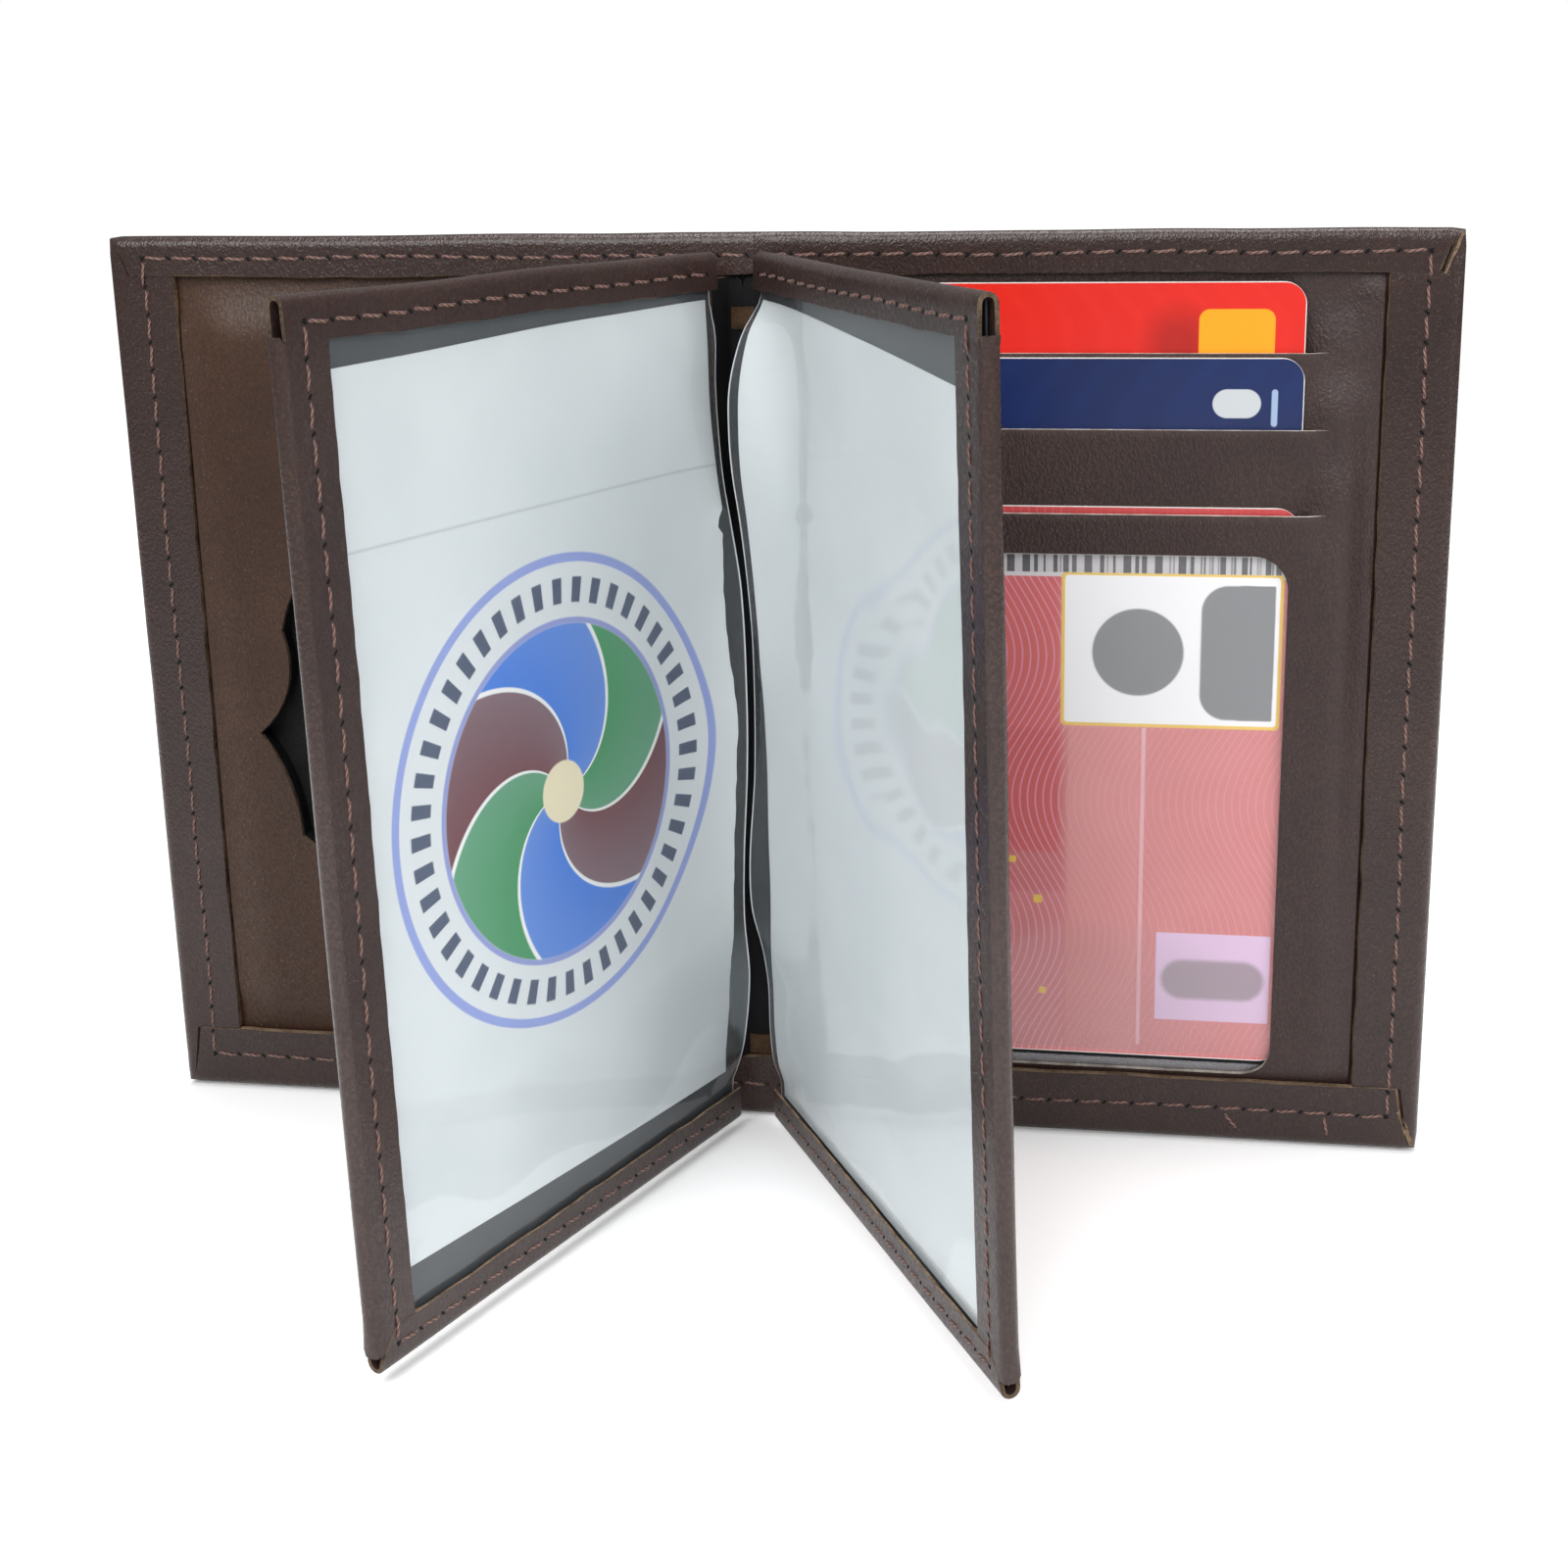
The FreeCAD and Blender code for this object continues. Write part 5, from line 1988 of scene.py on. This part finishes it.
@dataclass
class Page:
    """One raised page: a hemmed hide with a lining, a leaf and a clear film, and its gutter."""

    side: Side
    finishes: Finishes
    stitcher: Stitcher
    axis: Spot
    lift: float
    twist: float
    top_slope: float
    foot_slope: float
    start: float = 4.6
    reach: float = 86.0
    low: float = 1.6
    high: float = 135.6
    wall: float = 0.9
    roll: float = 1.3
    side_hem: float = 7.4
    end_hem: float = 5.4
    tongue_low: float = 10.5
    tongue_high: float = 131.7
    back: float = 0.45
    middle: float = 69.0
    mitre: float = 2.8
    mitre_start: float = 78.0
    pocket: Box = (5.3, 2.5, 84.0, 134.7)
    pocket_flat: Spot = (78.7, 132.2)
    mouth: float = 22.0
    leaf_start: float = 6.1
    leaf_width: float = 76.0
    leaf_low: float = 10.4
    leaf_high: float = 128.9
    film_stand: tuple[Spot, ...] = ()
    leaf_share: tuple[Spot, ...] = ()

    @property
    def hem_line(self) -> float:
        """Where the side hem ends across."""
        return self.reach - self.side_hem

    @property
    def body(self) -> str:
        """The body that the page belongs to."""
        return f"page_{self.side.word}"

    @property
    def place(self) -> Matrix:
        """The matrix that raises the page from lying open, in millimetres."""
        turn = Matrix.Rotation(math.radians(-self.side.value * self.lift), 4, "Z")
        return Matrix.Translation((*self.axis, 0.0)) @ turn @ self.side.turn

    def world(self, along: float, depth: float, up: float) -> Vector:
        """Find a place of the page in the frame, in metres."""
        return (self.place @ Vector((along, self.back - depth, up))) * MM

    def warp(self, spot: Vector) -> Vector:
        """Twist and waver what belongs to the page, so that the two pages still nest.

        Args:
            spot: A point of a piece of the page.

        Returns:
            Where it goes.
        """
        share = ease(spot.x, 4.0, self.reach)
        level = (2.0 * spot.z - self.low - self.high) / (self.high - self.low)
        tilt = self.twist * (spot.x / self.reach) * level
        soft = -0.2 * self.side.value * drift(spot.x, spot.z, 34.0, 11.0)
        lean = 0.25 * drift(spot.x, 3.0, 26.0, 15.0 + self.side.value)
        return Vector((spot.x, spot.y + tilt + soft * share,
                       spot.z + lean * ease(spot.z, 110.0, 134.0) * ease(spot.x, 5.0, 14.0)))

    def stand(self, along: float, up: float) -> float:
        """How far the film stands out from the page towards its free edge."""
        share = min(max((self.mouth - along) / (self.mouth - self.pocket[0]), 0.0), 1.0)
        return trace(up, self.film_stand) * share ** 2.5

    def sheet(self, name: str, columns: Sequence[float], rows: Sequence[float],
              depth: float) -> Piece:
        """Add a grid at a depth of the page."""
        return lay_grid(name, columns, rows, depth + BACK - self.back)

    def hide(self) -> Piece:
        """Model the hide: the side is rolled first, then the ends over it, left open.

        Returns:
            The hide, before it is warped and seated.
        """
        edge, low, high = self.reach - self.roll, self.low + self.roll, self.high - self.roll
        foot, head = self.low + self.end_hem, self.high - self.end_hem
        sheet = self.sheet(f"page_hide_{self.side.word}", spaced((self.start, edge), 2.0),
                           spaced((low, foot, self.tongue_low, head, self.tongue_high, high), 2.0),
                           self.wall / 2.0)
        radius = self.roll - self.wall / 2.0
        with editing(sheet):
            pick(sheet, lambda spot: spot.x > edge - NEAR and foot - NEAR < spot.z < head + NEAR)
            curl(OUT, radius)
            for _ in range(3):
                draw_out(-OUT * ((self.side_hem - self.roll) / 3.0))
            for near, far in ((head, high), (low, foot)):
                pick(sheet, lambda spot: abs(spot.x - edge) < NEAR and abs(spot.y) < NEAR
                     and near - NEAR < spot.z < far + NEAR)
                draw_out(OUT * 0.4)
            pick(sheet, lambda spot: spot.x < self.start + NEAR
                 and self.tongue_low - NEAR < spot.z < self.tongue_high + NEAR)
            for _ in range(2):
                draw_out(-OUT * 0.6)
            for line, outward in ((high, UP), (low, -UP)):
                pick(sheet, lambda spot: abs(spot.z - line) < NEAR and abs(spot.y) < NEAR)
                curl(outward, radius)
                for _ in range(3):
                    draw_out(-outward * ((self.end_hem - self.roll) / 3.0) + FORWARD * 0.03)

        def fray(spot: Vector) -> Vector:
            """Slant the lower hem's end, draw the side roll down to it and fray the edges."""
            if spot.y < -2.0 * radius - 0.02 and spot.z < foot + NEAR:
                slant = self.mitre * max((spot.z - low - 0.5) / (foot - low - 0.5), 0.0)
                start = self.mitre_start
                spot.x -= slant * max((spot.x - start) / (edge + 0.4 - start), 0.0)
            elif spot.y < -0.02 and abs(spot.z - foot) < NEAR:
                turned = min(max((spot.x - edge) / 2.2 + 1.0, 0.0), 1.0)
                spot.z -= self.mitre * (turned if spot.y < -radius - NEAR
                                        else ease(spot.x, edge + 0.42, edge + 0.8))
            if spot.y < -1.0 and abs(spot.x - self.hem_line) < 0.05:
                spot.x += 0.2 * drift(0.0, spot.z, 4.0, 2.9)
            if spot.y < -1.0 and min(abs(spot.z - head), abs(spot.z - foot)) < 0.05:
                spot.z += 0.2 * drift(spot.x, 0.0, 5.0, 7.9)
            return spot

        move_points(sheet, fray)
        even_normals(sheet)
        wear(sheet, self.finishes.page, self.finishes.cut, self.finishes.end)
        thicken(sheet, self.wall)
        for face in sheet.data.polygons:
            if face.material_index and face.center.x > edge - 0.5:
                face.material_index = 2

        def flare(spot: Vector) -> Vector:
            """Thin the inside of the end rolls where they are left open."""
            share = 0.34 * ease(spot.x, edge - 2.5, edge + 0.4)
            for line, outward in ((high, 1.0), (low, -1.0)):
                off = Vector((spot.y + radius, max((spot.z - line) * outward, 0.0)))
                if (spot.z - line) * outward > radius - self.end_hem and off.length < radius:
                    off += off.normalized() * share
                    spot.y = off.x - radius
                    spot.z = line + off.y * outward if off.y > 0.0 else spot.z
            return spot

        move_points(sheet, flare)

        def skive(spot: Vector) -> Vector:
            """Pare the hems' raw edges to a slope and tuck in the lower hem's."""
            depth = self.back - spot.y
            if abs(spot.z - head) < 0.4:
                spot.z += 0.8 * ease(spot.x, edge + 0.42, edge + 1.1)
            if (1.6 < depth < 1.9 and abs(spot.z - foot) < 0.35
                    and spot.x < self.hem_line - 0.3):
                spot.y -= 0.5
            if depth < 1.9 or spot.x > edge - 0.5:
                return spot
            if abs(spot.x - self.hem_line) < 0.35:
                spot.x += 0.1
            if abs(spot.z - head) < 0.35:
                spot.z += 0.1
            return spot

        move_points(sheet, skive)
        mark(sheet, "rub_and_film_highlight", lambda spot: max(ease(spot.x, self.reach - 1.5, self.reach - 0.2),
                                            ease(spot.z, self.high - 1.4, self.high - 0.1),
                                            ease(spot.z, self.low + 1.4, self.low + 0.1)))
        return sheet

    def lining(self) -> Piece:
        """Model the dark lining behind the leaf.

        Returns:
            The lining.
        """
        start, foot, end, head = self.pocket
        sheet = self.sheet(f"page_cloth_{self.side.word}", spaced((start, end), 4.0),
                           spaced((foot, head), 4.0), 1.06)
        wear(sheet, self.finishes.grey, self.finishes.grey)
        thicken(sheet, 0.24)
        return sheet

    def leaf(self) -> tuple[Piece, Piece]:
        """Model the leaf, cut by hand, slid a little and torn at the film's mouth.

        Returns:
            The leaf and its loose inner border.
        """
        start, end = self.leaf_start, self.leaf_start + self.leaf_width
        sheet = self.sheet(f"page_leaf_{self.side.word}", spaced((start, self.mouth, end), 1.5),
                           spaced((self.leaf_low, self.leaf_high), 1.2), 1.36)
        finish = self.finishes.leaf_left if self.side is Side.LEFT else self.finishes.leaf_right
        wear(sheet, finish, finish)
        border = part_off(sheet, f"page_leaf_border_{self.side.word}",
                          lambda spot: spot.x < self.mouth)

        def slide(spot: Vector) -> Vector:
            """Stand the border out with the film, tear it and slope the two ends."""
            share = max((spot.x - start) / self.leaf_width, 0.0) ** 1.4
            free = 1.0 - ease(spot.x, start, 9.5)
            spot.y -= trace(spot.z, self.leaf_share) * self.stand(spot.x, spot.z)
            if self.side is Side.LEFT:
                torn = 1.0 - ease(spot.z, 96.4, 97.4)
                nick = max(0.0, 1.0 - abs(spot.z - 97.2) / 1.6)
                spot.x += free * (torn * (0.5 + 0.35 * drift(2.0, spot.z, 2.2, 8.8)) + 1.6 * nick)
            spot.x += free * 0.3 * drift(0.0, spot.z, 14.0, 6.6)
            spot.z -= self.top_slope * share * ease(spot.z, 96.0, self.leaf_high)
            spot.z += self.foot_slope * share * (1.0 - ease(spot.z, self.leaf_low, 50.0))
            spot.y += 0.03 * drift(spot.x, spot.z, 16.0, 12.4)
            return spot

        for part in (sheet, border):
            move_points(part, slide)
            thicken(part, 0.14)
        return sheet, border

    def film(self) -> tuple[Piece, Piece]:
        """Model the film, whose free border by the spine stands out in slow waves.

        Returns:
            The film and its free border.
        """
        start, foot, end, head = self.pocket
        lip = start + 0.25
        sheet = self.sheet(f"page_vinyl_{self.side.word}",
                           spaced((start, lip, self.mouth, end), 1.4), spaced((foot, head), 1.6),
                           1.6)
        wear(sheet, self.finishes.vinyl, self.finishes.joint)
        # paint a highlight along the film's free edge
        mark(sheet, "rub_and_film_highlight", lambda spot: 0.8 * (1.0 - ease(spot.x, start, lip)))
        border = part_off(sheet, f"page_vinyl_border_{self.side.word}",
                          lambda spot: spot.x < self.mouth)

        def bulge(spot: Vector) -> Vector:
            """Stand the free border out from the page."""
            stand = self.stand(spot.x, spot.z)
            return Vector((spot.x + 0.12 * stand, spot.y - stand, spot.z))

        for part in (sheet, border):
            move_points(part, bulge)
            thicken(part, 0.06)
        return sheet, border

    def gutter(self) -> None:
        """Model and seat the lined strip that rises from the spine into the page."""
        raised = [self.world(along, 0.6, 0.0) / MM for along in (0.9, 1.6, 2.6, 3.9)]
        turn = self.axis[0]
        path = [(-2.0 + (turn + 2.0) * share, depth)
                for share, depth in ((0.0, -0.42), (0.55, -0.45), (0.9, -0.85))]
        path += [(spot.x, spot.y) for spot in raised]
        sheet = lay_grid(f"insert_gutter_{self.side.word}",
                         [float(step) for step in range(len(path))],
                         spaced((self.tongue_low, self.tongue_high), 4.0), BACK)
        move_points(sheet, lambda spot: Vector((*path[round(spot.x)], spot.z)))
        bend = sheet.modifiers.new("round", "SUBSURF")
        bend.levels = bend.render_levels = 1
        apply_step(sheet, bend)
        even_normals(sheet)
        wear(sheet, self.finishes.lining, self.finishes.cut)
        thicken(sheet, 0.7)
        start = (turn * MM, -0.9 * MM, self.middle * MM)
        fit_bend(sheet, UNMOVED,
                 (start, self.world(1.0, self.back, self.middle)))
        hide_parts(f"insert_fold_{self.side.word}", "insert_spine_strip")

    def build(self) -> None:
        """Model, sew and seat the page."""
        hide = self.hide()
        across, top, low = self.reach - 3.9, self.high - 3.0, self.low + 3.0
        sewn = self.stitcher.sew(self.body, hide, (
            Seam((7.0, top), (across, top)), Seam((across, top), (across, low)),
            Seam((across, low), (7.0, low))))
        start, end = (self.world(along, self.back, self.middle) for along in (3.7, 5.3))
        for piece in (hide, *sewn):
            move_points(piece, self.warp)
            fit_bend(piece, self.place, (start, end))
        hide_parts(f"page_leather_{self.side.word}")
        lining = self.lining()
        leaf, leaf_border = self.leaf()
        film, film_border = self.film()
        tall = self.leaf_high - self.leaf_low - (self.top_slope + self.foot_slope) / 2.4
        leaf_flat = (self.leaf_width, tall)
        rows = ((lining, "page_lining", "black_lining", self.pocket_flat, "laid", ()),
                (leaf, "credential", "credential_paper", leaf_flat, "laid", (leaf_border,)),
                (film, "page_film", "clear_vinyl", self.pocket_flat, "stretched", (film_border,)))
        front, rear = (self.world(40.0, depth, self.middle) for depth in (1.0, 0.0))
        for piece, node, slot, flat, held, borders in rows:
            for part in (piece, *borders):
                move_points(part, self.warp)
                fit(part, self.place, self.body, slot)
            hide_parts(f"{node}_{self.side.word}")
            for part in borders:
                tuple(self.world(self.mouth, 1.5, self.middle))
                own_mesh(part)
        self.gutter()


@dataclass
class Cards:
    """The three cards and the hidden pocket cloths, kept as the frame has them."""

    finishes: Finishes

    def build(self, nodes: dict[str, Piece]) -> None:
        """Give each kept node its finish.

        Args:
            nodes: The frame's nodes by name.
        """
        rows = {"red_card": self.finishes.red, "blue_card": self.finishes.blue,
                "id_card": self.finishes.identity, "card_pocket_back": self.finishes.pocket,
                "blue_pocket_liner": self.finishes.pocket,
                "id_pocket_liner": self.finishes.pocket}
        for name, finish in rows.items():
            wear(nodes[name], finish)
            LOG.info("node %s: %s", name, finish.name)


@dataclass
class Studio:
    """The camera, the pale floor and the soft lights."""

    spot: tuple[float, float, float] = (0.0575, -0.3040, 0.1542)
    yaw: float = 8.98
    pitch: float = 13.98
    roll: float = -0.94
    lens: float = 48.555
    shift: Spot = (-0.0275, -0.09125)

    @staticmethod
    def seen(nodes: Nodes) -> Socket:
        """Tell where the background is seen, straight on or through a film."""
        path = nodes.add("LightPath").outputs
        return nodes.sum("MAXIMUM", path["Is Camera Ray"], path["Is Transmission Ray"])

    def camera(self) -> None:
        """Set the camera where the photograph was taken from."""
        made = bpy.data.cameras.new("photo_camera")
        made.lens, made.sensor_width = self.lens, 36.0
        made.shift_x, made.shift_y = self.shift
        made.clip_start, made.clip_end = 0.01, 20.0
        eye = bpy.data.objects.new("photo_camera", made)
        bpy.context.scene.collection.objects.link(eye)
        eye.matrix_world = (Matrix.Translation(self.spot)
                            @ Matrix.Rotation(math.radians(self.yaw), 4, "Z")
                            @ Matrix.Rotation(math.radians(90.0 - self.pitch), 4, "X")
                            @ Matrix.Rotation(math.radians(self.roll), 4, "Z"))
        bpy.context.scene.camera = eye

    def lamp(self, name: str, spot: Sequence[float], target: Sequence[float], size: float,
             power: float) -> None:
        """Add one soft square lamp.

        Args:
            name: Name of the lamp.
            spot: Where it hangs, in metres.
            target: What it faces.
            size: Its side in metres.
            power: Its power in watts.
        """
        made = bpy.data.lights.new(name, "AREA")
        made.size, made.energy = size, power
        lamp = bpy.data.objects.new(name, made)
        bpy.context.scene.collection.objects.link(lamp)
        lamp.location = spot
        lamp.rotation_euler = (Vector(target) - Vector(spot)).to_track_quat("-Z", "Y").to_euler()

    def floor(self) -> None:
        """Lay a wide pale floor that keeps the wallet's shadow."""
        clear_selection()
        bpy.ops.mesh.primitive_plane_add(size=12.0, location=(0.0, 0.0, -0.0004))
        floor = bpy.context.object
        floor.name = "studio_floor"
        finish = bpy.data.materials.new("studio_white")
        nodes = Nodes.fresh(finish)
        away = nodes.length(nodes.add("TexCoord").outputs["Object"])
        grey = nodes.mix(nodes.span(away, 0.3, 0.75), (0.93, 0.93, 0.93, 1.0),
                         (0.2, 0.2, 0.2, 1.0))
        matte = nodes.add("BsdfDiffuse", {"Color": grey}).outputs[0]
        whiter = nodes.span(away, 0.22, 0.7, 0.14, 1.0)
        strength = nodes.sum("MULTIPLY", self.seen(nodes), whiter)
        glow = nodes.add("Emission", {"Strength": strength}).outputs[0]
        nodes.add("OutputMaterial", {0: nodes.add("AddShader", {0: matte, 1: glow}).outputs[0]})
        wear(floor, finish)

    def world(self) -> None:
        """Surround the wallet with a white room."""
        room = bpy.data.worlds.new("white_room")
        bpy.context.scene.world = room
        nodes = Nodes.fresh(room)
        strength = nodes.span(self.seen(nodes), 0.0, 1.0, 0.28, 1.0)
        sky = nodes.add("Background", {"Color": WHITE, "Strength": strength}).outputs[0]
        nodes.add("OutputWorld", {0: sky})

    def build(self) -> None:
        """Set the camera, floor, room and lamps."""
        self.camera()
        self.floor()
        self.world()
        self.lamp("lamp_front", (-0.35, -1.0, 1.0), (0.0, 0.0, 0.07), 0.9, 17.0)
        self.lamp("lamp_right", (0.9, -0.7, 0.7), (0.0, 0.0, 0.07), 0.8, 9.0)
        self.lamp("lamp_top", (0.0, 0.15, 1.2), (0.0, 0.0, 0.05), 0.7, 10.0)
        bpy.context.scene.view_settings.view_transform = "Standard"


def main() -> None:
    """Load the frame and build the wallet's pieces in order."""
    logging.basicConfig(level=logging.INFO, format="%(name)s: %(message)s")
    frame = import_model()
    Studio().build()
    finishes = Finishes()
    stitcher = Stitcher(finishes)
    covers = {side: CoverHalf(side, finishes, stitcher) for side in Side}
    for cover in covers.values():
        cover.build()
    BadgePanel(finishes, covers[Side.LEFT]).build()
    CardPanel(finishes, covers[Side.RIGHT]).build()
    Spine(finishes).build()
    Page(Side.LEFT, finishes, stitcher, axis=(-4.5, -1.3), lift=66.0, twist=1.7, top_slope=2.4,
         foot_slope=2.4,
         film_stand=((8.0, 0.0), (11.0, 1.2), (16.0, 2.8), (27.0, 4.2), (36.0, 3.5), (46.0, 3.8),
                     (60.0, 4.9), (72.0, 5.2), (87.0, 4.7), (97.0, 3.0), (103.0, 1.8),
                     (110.0, 1.1), (117.0, 0.8), (124.0, 1.0), (129.5, 0.0)),
         leaf_share=((10.4, 0.0), (18.0, 0.2), (27.0, 0.36), (36.0, 0.74), (60.0, 0.82),
                     (68.0, 0.86), (80.0, 0.6), (89.0, 0.58), (101.0, 0.9), (116.0, 0.5),
                     (128.0, 0.1))).build()
    Page(Side.RIGHT, finishes, stitcher, axis=(0.5, -1.3), lift=61.0, twist=-1.7, top_slope=5.0,
         foot_slope=0.0, leaf_low=6.4,
         film_stand=((8.0, 0.0), (12.0, 1.2), (18.0, 1.7), (25.0, 1.8), (31.0, 2.6), (38.0, 4.2),
                     (46.0, 4.3), (60.0, 3.1), (78.0, 2.9), (87.0, 3.4), (97.0, 4.4),
                     (104.0, 5.4), (110.0, 5.8), (117.0, 5.5), (124.0, 3.4), (130.2, 0.0)),
         leaf_share=((6.4, 0.85), (27.0, 0.85), (37.0, 0.42), (46.0, 0.4), (68.0, 0.64),
                     (78.0, 0.88), (95.0, 0.92), (117.0, 0.88), (128.9, 0.9))).build()
    Cards(finishes).build(frame["nodes"])


if __name__ == "__main__":
    main()
